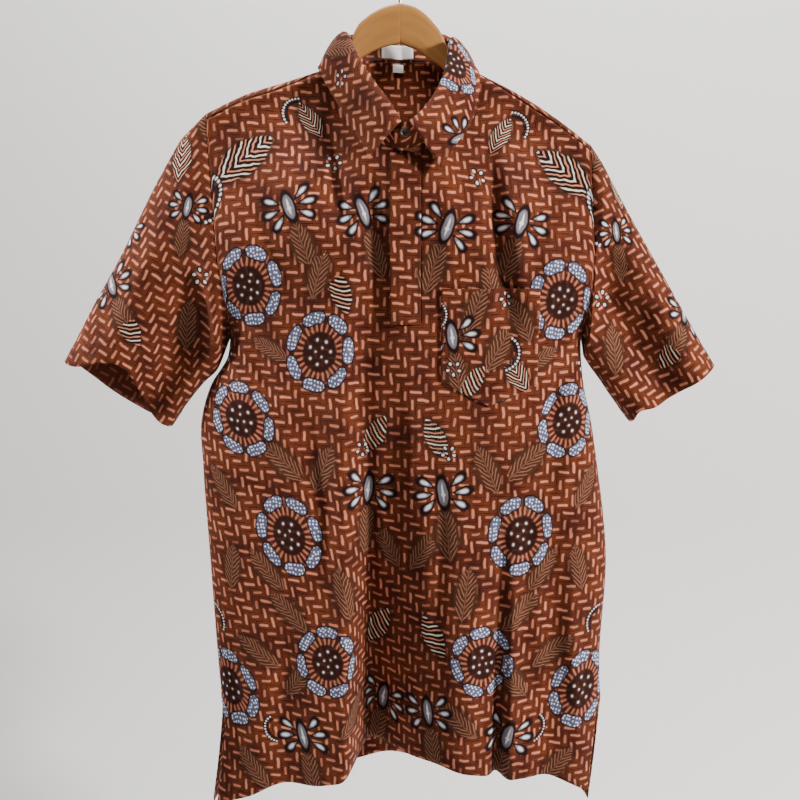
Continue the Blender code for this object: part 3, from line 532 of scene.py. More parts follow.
def grid_faces(rows, columns, closed=False, flip=False, skip=None):
    """Quads of a grid. skip(r, c) leaves a face out."""
    faces = []
    for r in range(rows - 1):
        for c in range(columns if closed else columns - 1):
            if skip is not None and skip[r, c]:
                continue
            n = (c + 1) % columns
            face = (r * columns + c, (r + 1) * columns + c, (r + 1) * columns + n, r * columns + n)
            faces.append(face[::-1] if flip else face)
    return faces


def cloth(name, points, uv, motifs, materials, flip=False, thickness=CLOTH, skip=None):
    """A cloth wall through a grid of points. Its outer face is on the points."""
    rows, columns = points.shape[:2]
    mesh = bpy.data.meshes.new(name)
    mesh.from_pydata(points.reshape(-1, 3).tolist(), [], grid_faces(rows, columns, False, flip, skip))
    write_print(mesh, uv.reshape(-1, 2), motifs)
    loose = bmesh.new()
    loose.from_mesh(mesh)
    bmesh.ops.delete(loose, geom=[v for v in loose.verts if not v.link_faces], context="VERTS")
    loose.to_mesh(mesh)
    loose.free()
    mesh.shade_smooth()
    piece = add_object(name, mesh)
    for material in materials:
        mesh.materials.append(material)
    wall = piece.modifiers.new("wall", "SOLIDIFY")
    wall.thickness = thickness
    wall.offset = -1
    wall.material_offset = len(materials) - 1
    wall.use_quality_normals = True
    pieces[name] = piece
    return piece


print("cloth walls are", CLOTH * 1000, "mm thick")

# %% [markdown]
# ## The print as a shader
# Each motif is a formula of its local coordinates. The small class below lets a formula be written
# as an ordinary sum, and makes one math node for each step. Colours are then laid one over
# another, as a batik maker waxes and dyes from the lightest colour to the darkest.

# %% Shader helpers
class Value:
    """A number in a shader tree."""

    def __init__(self, tree, socket):
        self.tree, self.socket = tree, socket

    def do(self, operation, *others, clamp=False):
        node = self.tree.nodes.new("ShaderNodeMath")
        node.operation = operation
        node.use_clamp = clamp
        for place, value in zip(node.inputs, (self, *others)):
            if isinstance(value, Value):
                self.tree.links.new(value.socket, place)
            else:
                place.default_value = value
        return Value(self.tree, node.outputs[0])

    def __add__(self, other):
        return self.do("ADD", other)

    def __sub__(self, other):
        return self.do("SUBTRACT", other)

    def __mul__(self, other):
        return self.do("MULTIPLY", other)

    def __truediv__(self, other):
        return self.do("DIVIDE", other)


def size_of(a):
    return a.do("ABSOLUTE")


def distance(a, b):
    return (a * a).do("MULTIPLY_ADD", 1.0, b * b).do("SQRT")


def within(value, limit, soft):
    """1 where a value is under a limit, with a soft edge."""
    return value.do("MULTIPLY_ADD", -1 / soft, limit / soft + 0.5, clamp=True)


def repeat(angle, count):
    """A full turn cut into equal parts, each from -0.5 to 0.5."""
    return (angle * (count / (2 * pi))).do("FRACT") - 0.5


def choose(first, second, switch):
    return (second - first).do("MULTIPLY_ADD", switch, first)


def lay(tree, under, color, mask):
    """Lays a colour over another where the mask is 1. The mask may be a plain number."""
    node = tree.nodes.new("ShaderNodeMix")
    node.data_type = "RGBA"
    if isinstance(mask, Value):
        tree.links.new(mask.socket, node.inputs[0])
    else:
        node.inputs[0].default_value = mask
    for place, value in ((node.inputs[6], under), (node.inputs[7], color)):
        if isinstance(value, tuple):
            place.default_value = (*value, 1.0)
        else:
            tree.links.new(value, place)
    return node.outputs[2]


def parts(tree, vector):
    node = tree.nodes.new("ShaderNodeSeparateXYZ")
    tree.links.new(vector, node.inputs[0])
    return [Value(tree, output) for output in node.outputs]


def join(tree, x, y):
    node = tree.nodes.new("ShaderNodeCombineXYZ")
    tree.links.new(x.socket, node.inputs[0])
    tree.links.new(y.socket, node.inputs[1])
    return node.outputs[0]


def noise(tree, vector, scale, detail=2.0, color=False):
    node = tree.nodes.new("ShaderNodeTexNoise")
    node.inputs["Scale"].default_value = scale
    node.inputs["Detail"].default_value = detail
    tree.links.new(vector, node.inputs["Vector"])
    return node.outputs["Color"] if color else Value(tree, node.outputs["Fac"])


# %% Dyes and the herringbone ground
CHESTNUT = (0.130, 0.029, 0.009)
DEEP = (0.060, 0.011, 0.005)
OUTLINE = (0.010, 0.002, 0.002)
SALMON = (0.600, 0.210, 0.120)
WHITE = (0.690, 0.690, 0.710)
SILVER = (0.165, 0.145, 0.165)
LILAC = (0.095, 0.095, 0.160)
PALE_DOT = (0.760, 0.800, 0.900)
CREAM = (0.760, 0.680, 0.520)
BROWN_LEAF = (0.058, 0.020, 0.008)
VEIN = (0.310, 0.130, 0.080)

CELL_ACROSS = 0.0078
CELL_DOWN = 0.0095
DASH_HALF = 0.0052
DASH_RADIUS = 0.00142


def herringbone(tree, u, v, mottle):
    """Bricks two cells long, in stairs, each with one stroke along its middle."""
    across, down = u / CELL_ACROSS, v / CELL_DOWN
    i, j = across.do("FLOOR"), down.do("FLOOR")
    step = (i - j).do("FLOORED_MODULO", 4.0)
    level = step.do("COMPARE", 0.5, 0.6)
    second = step.do("COMPARE", 1.5, 0.6)
    first = second.do("MULTIPLY_ADD", -1.0, 1.0)
    fx, fy = across - i, down - j
    lengthwise = choose(fy, fx, level) - first
    sideways = choose(fx, fy, level) - 0.5
    along = size_of(lengthwise * (level.do("MULTIPLY_ADD", CELL_ACROSS - CELL_DOWN, CELL_DOWN)))
    brick_x = i - step.do("COMPARE", 1.0, 0.2)
    brick_y = j - step.do("COMPARE", 2.0, 0.2)
    dice = tree.nodes.new("ShaderNodeTexWhiteNoise")
    dice.noise_dimensions = "2D"
    tree.links.new(join(tree, brick_x, brick_y), dice.inputs["Vector"])
    chance = Value(tree, dice.outputs["Value"])
    slant = lengthwise * (chance.do("MULTIPLY_ADD", -2.0, 1.0)).do("SINE") * 0.10
    cell_side = level.do("MULTIPLY_ADD", CELL_DOWN - CELL_ACROSS, CELL_ACROSS)
    aside = size_of((sideways + slant) * cell_side)
    over = (along - chance.do("MULTIPLY_ADD", 0.0022, DASH_HALF - 0.0022)).do("MAXIMUM", 0.0)
    dash = within(distance(over, aside), DASH_RADIUS, 0.0009)
    shadow = within(distance(over, aside), DASH_RADIUS * 1.75, 0.0010)
    seam = size_of(sideways).do("MULTIPLY_ADD", 14.0, -5.85, clamp=True)
    color = lay(tree, CHESTNUT, DEEP, mottle.do("MULTIPLY_ADD", 3.4, -1.30, clamp=True))
    color = lay(tree, color, OUTLINE, seam * 0.95)
    color = lay(tree, color, DEEP, shadow * 0.55)
    paler = (mottle - chance * 0.35).do("MULTIPLY_ADD", -1.5, 1.25, clamp=True)
    return lay(tree, color, SALMON, dash * paler)


# %% [markdown]
# Each motif below gets its colour so far, its own x and y in metres from the motif's middle, and
# a tone from 0 to 1 that makes copies differ. A mask is 1 where a measure is under its limit.

# %% Flower and sprig
def flower(tree, color, x, y, tone):
    x, y = x * 1.08, y * 0.90
    r = distance(x, y)
    angle = x.do("ARCTAN2", y)
    thick = size_of(r - 0.0352) / 0.0060
    arc = repeat(angle, 7) * 2.42
    shape = (thick * thick) + (arc * arc).do("POWER", 2.0)
    color = lay(tree, color, OUTLINE, within(r, 0.0385, 0.0060) * 0.60)
    color = lay(tree, color, DEEP, within(r, 0.0325, 0.0020) * 0.6)
    stroke = size_of(repeat(angle, 26)) * (r * (2 * pi / 26))
    reach = within(size_of(r - 0.0255), 0.0048, 0.0020)
    color = lay(tree, color, SALMON, within(stroke, 0.0012, 0.0010) * reach * 0.62)
    color = lay(tree, color, OUTLINE, within(r, 0.0205, 0.0040) * 0.70)
    ring_radius = tone.do("MULTIPLY_ADD", 0.002, 0.0125)
    ring = distance(repeat(angle, 7) * (0.0130 * 2 * pi / 7), r - ring_radius)
    seeds = distance(repeat(angle + 0.6, 3) * (0.0050 * 2 * pi / 3), r - 0.0050)
    halo = within(ring.do("MINIMUM", seeds), 0.0034, 0.0010)
    color = lay(tree, color, BROWN_LEAF, halo * 0.8)
    color = lay(tree, color, SILVER, within(ring, 0.0020, 0.0008))
    color = lay(tree, color, WHITE, within(ring, 0.0013, 0.0009) * 0.95)
    color = lay(tree, color, WHITE, within(seeds, 0.0012, 0.0009) * 0.8)
    color = lay(tree, color, OUTLINE, within(shape, 1.55, 0.50))
    color = lay(tree, color, LILAC, within(shape, 1.0, 0.35))
    cells = tree.nodes.new("ShaderNodeTexVoronoi")
    cells.voronoi_dimensions = "2D"
    cells.inputs["Scale"].default_value = 1 / 0.0040
    cells.inputs["Randomness"].default_value = 0.50
    tree.links.new(join(tree, x, y), cells.inputs["Vector"])
    dot = within(Value(tree, cells.outputs["Distance"]), 0.25, 0.16)
    return lay(tree, color, PALE_DOT, dot * within(shape, 0.95, 0.3))


def sprig(tree, color, x, y, tone):
    body = distance(x / 0.0054, y / 0.0142)
    core = distance(x / 0.0012, y / 0.0095)
    eye = distance(x, y + 0.0020)
    r = distance(x, y)
    angle = size_of(x).do("ARCTAN2", y) + (tone - 0.25) * 0.35
    drop_arc = (angle * (180 / 37 / pi) + 0.07).do("FRACT") - 0.5
    arc = drop_arc * (r * 0.646)
    side = within(size_of(angle - pi / 2), 0.955, 0.04)
    drop = distance(arc / r.do("MULTIPLY_ADD", 0.20, -0.0012), (r - 0.0212) / 0.0078)
    tip = distance(arc / 0.0019, (r - 0.0226) / 0.0048)
    color = lay(tree, color, OUTLINE, within(drop, 1.62, 0.4) * side)
    color = lay(tree, color, SILVER, within(drop, 0.95, 0.25) * side)
    color = lay(tree, color, WHITE, within(tip, 0.95, 0.5) * side)
    color = lay(tree, color, OUTLINE, within(body, 1.50, 0.25))
    color = lay(tree, color, SILVER, within(body, 1.0, 0.2))
    return lay(tree, color, WHITE, within(core.do("MINIMUM", eye / 0.0023), 1.0, 0.5))


# %% Leaves, beads and dots
def leaf(tree, color, x, y, tone):
    wide = size_of(x)
    shape = (wide / 0.0135) + (y * y) / (0.0300 ** 2)
    striped = tone.do("GREATER_THAN", 0.505)
    color = lay(tree, color, OUTLINE, within(shape, 1.20, 0.45) * 0.55)
    color = lay(tree, color, BROWN_LEAF, within(shape, 0.95, 0.30) * 0.9)
    vein_at = ((y - wide * 1.55) / 0.0062).do("FRACT") - 0.5
    vein = within(size_of(vein_at), 0.15, 0.12) * within(size_of(wide - 0.0052), 0.0040, 0.001)
    vein = vein.do("MAXIMUM", within(wide, 0.0005, 0.0006) * 0.6)
    color = lay(tree, color, VEIN, vein * within(shape, 0.95, 0.2) * 0.8)
    color = lay(tree, color, OUTLINE, within(shape, 0.95, 0.12) * striped)
    fanned = tone.do("GREATER_THAN", 0.75)
    count = (y + choose(x * 0.62, wide * -1.3, fanned) - wide * wide * 14.0) / 0.0058
    stripe = within(size_of(count.do("FRACT") - 0.5), 0.17, 0.16) * within(shape, 0.90, 0.1)
    pair = count.do("FLOOR").do("FLOORED_MODULO", 2.0)
    bands = lay(tree, CREAM, SALMON, pair)
    return lay(tree, color, bands, stripe * striped * 0.92)


def beads(tree, color, x, y, tone):
    y = y + 0.018
    r = distance(x, y)
    angle = x.do("ARCTAN2", y)
    bend = within(size_of(angle), 1.15, 0.05)
    bead = distance(((angle * (0.020 / 0.0040)).do("FRACT") - 0.5) * 0.0040, r - 0.020)
    color = lay(tree, color, OUTLINE, within(size_of(r - 0.0185), 0.0042, 0.0012) * bend * 0.9)
    return lay(tree, color, WHITE, within(bead, 0.0013, 0.0008) * bend * 0.9)


def dots(tree, color, x, y, tone):
    r = distance(x, y)
    angle = x.do("ARCTAN2", y)
    ring = distance(repeat(angle, 5) * (0.0072 * 2 * pi / 5), (r - 0.0072) * 0.75)
    color = lay(tree, color, OUTLINE, within(ring, 0.0030, 0.0009) * 0.9)
    return lay(tree, color, WHITE, within(ring, 0.0016, 0.0008) * 0.9)


# %% The cloth material
def new_material(name, color, roughness, metallic=0.0):
    material = bpy.data.materials.new(name)
    material.use_nodes = True
    shader = material.node_tree.nodes["Principled BSDF"]
    shader.inputs["Base Color"].default_value = (*color, 1.0)
    shader.inputs["Roughness"].default_value = roughness
    shader.inputs["Metallic"].default_value = metallic
    return material, material.node_tree, shader


def bump(tree, shader, height, strength, depth):
    node = tree.nodes.new("ShaderNodeBump")
    node.inputs["Strength"].default_value = strength
    node.inputs["Distance"].default_value = depth
    tree.links.new(height.socket, node.inputs["Height"])
    tree.links.new(node.outputs["Normal"], shader.inputs["Normal"])


def cloth_map(tree):
    """The UV map that cloth and wood carry, whole and as its two numbers."""
    node = tree.nodes.new("ShaderNodeUVMap")
    node.uv_map = "cloth"
    u, v, _ = parts(tree, node.outputs["UV"])
    return node.outputs["UV"], u, v


WAVER = 0.0030   # how far a drawn line strays


def batik_material(name, painted_shade):
    """The printed cotton. Its second argument is painted shade: it darkens the inner face of a piece,
    which lies inside the shirt and its sleeves.
    """
    material, tree, shader = new_material(name, CHESTNUT, 0.86)
    shader.inputs["Specular IOR Level"].default_value = 0.12
    shader.inputs["Sheen Weight"].default_value = 0.03
    shader.inputs["Sheen Roughness"].default_value = 0.45
    uv, u, v = cloth_map(tree)
    waver_x, waver_y, _ = parts(tree, noise(tree, uv, 95, 1.0, color=True))
    shift_x, shift_y = (waver_x - 0.5) * WAVER, (waver_y - 0.5) * WAVER
    mottle = noise(tree, uv, 28, 2.0)
    color = herringbone(tree, u + shift_x, v + shift_y, mottle)
    # Drawn by hand, every line wavers a little, and the leaves waver the most.
    for kind, draw in (("leaf", leaf), ("dots", dots), ("beads", beads), ("sprig", sprig),
                       ("flower", flower)):
        attribute = tree.nodes.new("ShaderNodeAttribute")
        attribute.attribute_name = kind
        x, y, tone = parts(tree, attribute.outputs["Vector"])
        shake = 1.3 if kind == "leaf" else 0.7
        color = draw(tree, color, x + shift_x * shake, y + shift_y * shake, tone)
    # Painted shade: the inner face is mixed towards the deep brown, as the inside of the shirt lies in
    # shade.
    if painted_shade:
        color = lay(tree, color, DEEP, painted_shade)
    tree.links.new(color, shader.inputs["Base Color"])
    thread = noise(tree, uv, 900, 2.0)
    bump(tree, shader, thread, 0.25, 0.0004)
    return material


batik = batik_material("batik_cotton", 0.0)
# The inner face gets painted shade, three quarters of the way to the deep brown.
batik_shaded_inside = batik_material("batik_cotton_shaded_inside", 0.75)
print("print shader", len(batik.node_tree.nodes), "nodes")

# %% [markdown]
# ## The front and the back
# The front is one panel with a slit for the placket. The back passes over the shoulders and meets
# the front in a seam a little forward of the ridge, as on a shirt cut with a forward shoulder.

# %% Grids for the two panels
COLUMNS = 150
ROWS_ABOVE = 62
ROWS_BELOW = 100
MIDDLE_WIDTH = 0.205
FRONT_SLIT_LEFT = -0.004
HEM_TURN = 0.020


def even_middle(columns, drop):
    """Shares whose middle columns stay at a fixed x at every drop, so that the slit is straight."""
    side = np.where(columns < 0, -1.0, 1.0)
    fixed = MIDDLE_WIDTH / half_width(side, drop)
    return columns * mix(fixed, 1.0, ease((np.abs(columns) - 0.11) / 0.20))


def spread(lows, highs, count, end_close=0.0):
    """Even steps, drawn closer together towards both ends."""
    t = np.linspace(0, 1, count)
    t = mix(t, (1 - np.cos(pi * t)) / 2, end_close)
    return mix(lows[None, :], highs[None, :], t[:, None])


def panel_columns(count):
    half = [k / (count // 2) for k in range(count // 2 + 1)]
    close = np.array([mix(t, sin(pi / 2 * t), 0.35) for t in half])
    columns = np.concatenate([-close[:0:-1], close])
    slit = [PLACKET_LEFT / MIDDLE_WIDTH, FRONT_SLIT_LEFT / MIDDLE_WIDTH, PLACKET_RIGHT / MIDDLE_WIDTH]
    for edge in slit + [-NECK_SHARE, NECK_SHARE]:
        columns[np.argmin(np.abs(columns - edge))] = edge
    return np.sort(columns)


def hem_step(drop, hem):
    """The turned hem is two layers, so it stands a little proud of the single cloth above it."""
    return 0.0005 * ease((drop - (hem - HEM_TURN)) / 0.002)


def seam_step(points, share, panel):
    """Keeps the two panels apart at the side seams, where they meet edge to edge."""
    toward = -1 if panel == "front" else 1
    points[..., 1] += np.where(np.abs(share) > 0.999, toward * (SEAM_GAP + CLOTH) / 2, 0.0)
    return points


def vent(share, drop):
    """Below the vent's top the front's side edges are drawn in a little."""
    drawn = 0.035 * ease((drop - VENT_DROP) / 0.04)
    return share * (1 - drawn * np.abs(share) ** 8)


# %% Front
columns = panel_columns(COLUMNS)
under = np.full(len(columns), UNDERARM_DROP)
above = spread(front_top(columns), under, ROWS_ABOVE, 0.5)
slit_row = np.argmin(np.abs(above[:, len(columns) // 2] - PLACKET_DROP))
below = spread(under, front_hem(columns), ROWS_BELOW)[1:]
drops = np.concatenate([above, below])
shares = vent(even_middle(columns[None, :], drops), drops)
lift = hem_step(drops, front_hem(columns)[None, :])
points = seam_step(body_point("front", shares, drops, lift), columns[None, :] + 0 * drops, "front")
left_cut = np.argmin(np.abs(columns - FRONT_SLIT_LEFT / MIDDLE_WIDTH))
right_cut = np.argmin(np.abs(columns - PLACKET_RIGHT / MIDDLE_WIDTH))
slit = np.zeros((len(drops), len(columns)), bool)
slit[:slit_row, left_cut:right_cut] = True
uv = print_place("front", shares, drops)
body_print = with_feathers(both_sides(BOTH_HALVES, "front"))
front = cloth("shirt_front", points, uv, body_print, (batik, batik_shaded_inside), skip=slit)
print("front", len(front.data.polygons), "faces before its thickness")

# %% Back
OVER_ROWS = 16
OVER_END = 0.0065
BACK_STEP = 0.0028


def over_shoulder(x, share):
    """Points of the back where it passes over the shoulder: 0 at the seam in front, 1 behind."""
    x = np.asarray(x, float)
    seam_turn = pi - np.arcsin(1 - seam_below(x) / SHOULDER_RIDGE) - 6.5 * SEAM_GAP / SHOULDER_RIDGE
    turn = mix(seam_turn, radians(35), share)
    y = SHOULDER_RIDGE * np.cos(turn) - ridge_forward(np.abs(x))
    z = -ridge_drop(x) - SHOULDER_RIDGE * (1 - np.sin(turn))
    return np.stack(np.broadcast_arrays(x, y, z), axis=-1)


columns = panel_columns(COLUMNS)
neck = np.abs(columns) < NECK_SHARE - 1e-9
x_top = columns * half_width(columns, TOP_DROP)
over_rows, over_uv = [], []
for k in range(OVER_ROWS):
    share = k / OVER_ROWS
    row = over_shoulder(x_top, share)
    start = back_top(columns) + 4 * BACK_STEP * share
    row[neck] = body_point("back", columns, start)[neck]
    over_rows.append(row)
    level = np.where(neck, start, ridge_drop(x_top) + mix(-0.014, OVER_END, share))
    over_uv.append(print_place("back", columns, level))
top = np.where(neck, back_top(columns) + 4 * BACK_STEP, ridge_drop(x_top) + OVER_END)
under = np.full(len(columns), UNDERARM_DROP)
above = spread(top, under, ROWS_ABOVE, 0.5)
below = spread(under, back_hem(columns), ROWS_BELOW)[1:]
drops = np.concatenate([above, below])
lift = hem_step(drops, back_hem(columns)[None, :])
lower = body_point("back", columns[None, :] + 0 * drops, drops, lift)
points = np.concatenate([np.array(over_rows), lower])
points = seam_step(points, np.broadcast_to(columns, points.shape[:2]), "back")
uv = np.concatenate([np.array(over_uv), print_place("back", columns[None, :] + 0 * drops, drops)])
body_print = with_feathers(both_sides(BOTH_HALVES, "back"))
back = cloth("shirt_back", points, uv, body_print, (batik, batik), flip=True)
print("back", len(back.data.polygons), "faces before its thickness")

# %% [markdown]
# ## The sleeves
# A sleeve is a tube set into the armhole. It hangs at an angle, so the print turns with it. The
# front of each sleeve sinks into a soft trough, and the cuff stays open.

# %% Sleeve tables
SLEEVE = ("along", "top out", "top drop", "under out", "under drop", "front", "back")
SLEEVE_ROWS = {
    "left": [
        (0.15, 0.2472, 0.2313, 0.2040, 0.4740, 0.044, 0.034),
        (0.35, 0.2780, 0.2830, 0.2120, 0.4900, 0.040, 0.034),
        (0.60, 0.3200, 0.3620, 0.2290, 0.5060, 0.040, 0.036),
        (0.80, 0.3500, 0.4120, 0.2480, 0.5290, 0.043, 0.040),
        (1.00, 0.3873, 0.4798, 0.2671, 0.5559, 0.046, 0.046),
    ],
    "right": [
        (0.15, 0.2250, 0.2580, 0.2080, 0.4740, 0.042, 0.034),
        (0.35, 0.2550, 0.3110, 0.2160, 0.4860, 0.038, 0.034),
        (0.60, 0.2950, 0.3780, 0.2290, 0.5030, 0.038, 0.036),
        (0.80, 0.3250, 0.4280, 0.2430, 0.5230, 0.042, 0.040),
        (1.00, 0.3587, 0.4837, 0.2640, 0.5500, 0.045, 0.045),
    ],
}
SLEEVE_TROUGH = {"left": 0.030, "right": 0.024}
TROUGH_TURN = {"left": 2.02, "right": 1.70}
TROUGH_WIDTH = 0.40
# Columns: front rise, at turn, turn width, back sink.
CUFF_OF = {"left": (0.036, 1.40, 0.58, 0.012), "right": (0.012, 2.45, 0.30, 0.006)}
# Columns: side, along from, turn from, along to, turn to, out, width.
SLEEVE_CREASE_ROWS = [
    ("left", 0.10, 0.9, 1.10, 1.05, 0.0040, 0.16), ("left", 0.15, 2.55, 0.80, 2.60, 0.0030, 0.16),
    ("left", 0.45, 1.4, 1.15, 1.55, -0.0040, 0.13), ("left", 0.05, 1.6, 0.55, 1.2, -0.0035, 0.12),
    ("left", 0.10, 4.0, 1.10, 4.2, -0.0060, 0.20), ("left", 0.20, 5.1, 1.10, 5.3, 0.0040, 0.18),
    ("right", 0.10, 0.8, 1.10, 0.95, 0.0040, 0.15), ("right", 0.20, 2.6, 0.90, 2.55, 0.0030, 0.16),
    ("right", 0.50, 1.3, 1.15, 1.40, -0.0045, 0.13), ("right", 0.05, 1.5, 0.5, 1.15, -0.0035, 0.12),
    ("right", 0.10, 4.1, 1.10, 4.0, -0.0060, 0.22), ("right", 0.20, 5.2, 1.10, 5.2, 0.0040, 0.18),
]
CUFF_TURN = 0.022
ALLOWANCE = (0.006, 0.003, 0.0)
FRONT_MIDDLE_TURN = 1.6


# %% The form of a sleeve
def armhole_point(side, turn, inside=0.0, out=0.0):
    """Points of the armhole: turn 0 is its top, a half turn the underarm, the front first.
    With inside and out they lie further in and under the body's edge, as a seam allowance does."""
    sign = sign_of(side)
    x_top = float(half_width(sign, TOP_DROP))
    share = sign * (1 - inside / x_top) + 0 * turn
    drop = mix(ridge_drop(sign * x_top), UNDERARM_DROP, (1 - np.cos(turn)) / 2)
    front, behind = (body_point(panel, share, drop, out) for panel in ("front", "back"))
    return np.where((turn <= pi)[..., None], front, behind)


def sleeve_creases(side, along, turn):
    total = 0 * along
    for name, along_from, turn_from, along_to, turn_to, out, width in SLEEVE_CREASE_ROWS:
        if name != side:
            continue
        share = (along - along_from) / (along_to - along_from)
        aside = (turn - mix(turn_from, turn_to, share)) / width
        total = total + out * np.sin(pi * np.clip(share, 0, 1)) ** 0.7 * np.exp(-aside ** 2)
    return total


def sleeve_point(side, along, turn, out=0.0):
    """Points of a sleeve: along from the armhole (0) to the cuff (1)."""
    sign = sign_of(side)
    rows = SLEEVE_ROWS[side]
    first = rows[0][0]
    at = {name: through(rows, k)(np.maximum(along, first)) for k, name in enumerate(SLEEVE)}
    reach_x = sign * (at["top out"] - at["under out"]) / 2
    middle_x = sign * (at["top out"] + at["under out"]) / 2
    reach_z = (at["under drop"] - at["top drop"]) / 2
    middle_z = -(at["under drop"] + at["top drop"]) / 2
    front = turn <= pi
    c, s = np.cos(turn), np.abs(np.sin(turn))
    from_trough = (turn - TROUGH_TURN[side]) / TROUGH_WIDTH
    trough = SLEEVE_TROUGH[side] * ease(along / 0.4) * np.exp(-from_trough ** 2)
    depth = (np.where(front, at["front"], at["back"]) + out) * s ** 0.85 - trough
    depth = depth + sleeve_creases(side, along, turn) * s
    size = np.hypot(reach_x, reach_z)
    lift, at_turn, turn_width, sink = CUFF_OF[side]
    lift = lift * s * np.exp(-((turn - at_turn) / turn_width) ** 2)
    rise = np.where(front, lift, -sink * s ** 2) * ease((along - 0.5) / 0.5) / size
    stretch = 1 + out / size
    x = middle_x + reach_x * stretch * c - sign * reach_z * rise
    z = middle_z + reach_z * stretch * c + np.abs(reach_x) * rise
    y = -0.018 * (1 - along) + np.where(front, -depth, depth)
    ring = np.stack([x, y, z], axis=-1)
    start = armhole_point(side, turn) + np.array((sign * 3 * SEAM_GAP, 0, 0))
    share = np.clip(0.35 * ease(along / first) + 0.65 * along / first, 0, 1)
    return mix(start, ring, share[..., None])


# %% Sleeves
def make_sleeve(side):
    raw = np.linspace(-pi, pi, 121)
    turns = raw % (2 * pi)
    alongs = np.concatenate([np.linspace(0.006, 0.10, 9), np.linspace(0.115, 1.0, 62)])
    along, turn = np.meshgrid(alongs, turns, indexing="ij")
    allowance = np.array([armhole_point(side, turns, inside, -(CLOTH + SEAM_GAP))
                          for inside in ALLOWANCE])
    plain = np.concatenate([allowance, sleeve_point(side, along, turn)])
    sign = sign_of(side)
    down = lengths_along(plain, 0)
    length = down[-1][None, :]
    lift = 0.0005 * ease((down - (length - CUFF_TURN)) / 0.002)
    points = np.concatenate([allowance, sleeve_point(side, along, turn, lift[len(ALLOWANCE):])])
    cuff_middle, top_middle = plain[-1].mean(axis=0), plain[len(ALLOWANCE)].mean(axis=0)
    lengthwise = unit((cuff_middle - top_middle) * np.array((1, 0, 1)))
    rightward = np.array((-lengthwise[2], 0, lengthwise[0]))
    step = np.diff(plain, axis=1)
    around = np.sqrt(np.maximum((step ** 2).sum(axis=2) - (step @ lengthwise) ** 2, 0))
    across = np.concatenate([np.zeros((len(plain), 1)), np.cumsum(around, axis=1)], axis=1)
    middle = np.argmin(np.abs(raw - FRONT_MIDDLE_TURN))
    start = plain[:, middle] @ rightward
    start = start - start[len(start) // 2]
    u = start[:, None] - sign * (across - across[:, middle:middle + 1])
    v = plain @ lengthwise
    uv = np.stack([u, v - v[0].min()], axis=-1)
    motifs = with_feathers(mirrored(ON_SLEEVE, sign))
    piece = cloth("sleeve_of_" + side, points, uv, motifs, (batik, batik_shaded_inside), flip=side == "right")
    weld = piece.modifiers.new("close the seam", "WELD")
    weld.merge_threshold = 0.00001
    piece.modifiers.move(1, 0)
    print("sleeve", side, "is", round(float(length.mean()), 3), "m long and",
          round(float(across[-1, -1]), 3), "m around")
    return float(length.mean())


sleeve_lengths = {side: make_sleeve(side) for side in ("left", "right")}

# %% [markdown]
# ## The collar
# The collar is two pieces: a stand that follows the neck seam, and a fall with two pointed leaves
# that turns over the stand. Each is described at stations from the middle of the back round to
# each front end.

# %% Collar tables
BACK_LAST = 0.2963
COLLAR = ("along", "fold x", "fold y", "fold drop", "edge x", "edge y", "edge drop")
COLLAR_ROWS = {
    "left": [
        (0.00, 0.000, 0.046, 0.1050, 0.000, 0.061, 0.1520),
        (0.20, -0.044, 0.034, 0.1090, -0.058, 0.047, 0.1545),
        (0.35, -0.0645, 0.004, 0.1150, -0.0850, 0.006, 0.1520),
        (0.50, -0.0589, -0.030, 0.1180, -0.0877, -0.026, 0.1560),
        (0.65, -0.0450, -0.056, 0.1490, -0.0720, -0.047, 0.1860),
        (0.80, -0.0275, -0.074, 0.1775, -0.0570, -0.067, 0.2150),
        (0.92, -0.0120, -0.087, 0.1990, -0.0430, -0.086, 0.2400),
        (1.00, -0.0015, -0.094, 0.2180, -0.0356, -0.094, 0.2560),
    ],
    "right": [
        (0.00, 0.000, 0.046, 0.1050, 0.000, 0.061, 0.1520),
        (0.20, 0.044, 0.034, 0.1090, 0.058, 0.047, 0.1555),
        (0.35, 0.0570, 0.004, 0.1220, 0.0745, 0.006, 0.1490),
        (0.50, 0.0528, -0.030, 0.1235, 0.0815, -0.026, 0.1610),
        (0.65, 0.0480, -0.057, 0.1570, 0.0795, -0.046, 0.1890),
        (0.80, 0.0345, -0.076, 0.1880, 0.0730, -0.061, 0.2160),
        (0.92, 0.0200, -0.089, 0.2080, 0.0570, -0.081, 0.2410),
        (1.00, 0.0080, -0.095, 0.2185, 0.0414, -0.096, 0.2664),
    ],
}
NECK_POINT_LIFT = 0.0034
LINES_OF_COLLAR = 56
COLLAR_CLOTH = 0.0015   # two layers with a lining between them
LEAF_TURN = 40   # degrees that the print is turned on the leaves


# %% The form of the collar
def collar_column(side, along, name):
    return through(COLLAR_ROWS[side], COLLAR.index(name))(along)


def neck_seam(side, along):
    """Points of the seam between body and collar, from the middle of the back to the front."""
    sign = sign_of(side)
    share = sign * NECK_SHARE * np.minimum(along, BACK_LAST) / BACK_NECK_END
    behind = body_point("back", share, back_top(share), creased=False)
    corner = over_shoulder(sign * NECK_SHARE * half_width(sign, TOP_DROP) + 0 * along, 0)
    front_share = (along - FRONT_NECK_START) / (1 - FRONT_NECK_START)
    share = sign * NECK_SHARE * np.cos(pi / 2 * np.maximum(front_share, 0))
    ahead = body_point("front", share, front_top(share), creased=False)
    to_corner = np.clip((along - BACK_LAST) / (BACK_NECK_END - BACK_LAST), 0, 1)
    to_front = np.clip((along - BACK_NECK_END) / (FRONT_NECK_START - BACK_NECK_END), 0, 1)
    seam = mix(behind, corner, to_corner[..., None])
    return np.where((along > BACK_NECK_END)[..., None], mix(corner, ahead, to_front[..., None]), seam)


def fold_point(side, along):
    point = np.stack([collar_column(side, along, "fold x"), collar_column(side, along, "fold y"),
                      -collar_column(side, along, "fold drop")], axis=-1)
    past = np.maximum(along - 1, 0)[..., None] * 0.20
    return point + past * np.array((1 if side == "left" else -1.7, 0, -0.2))


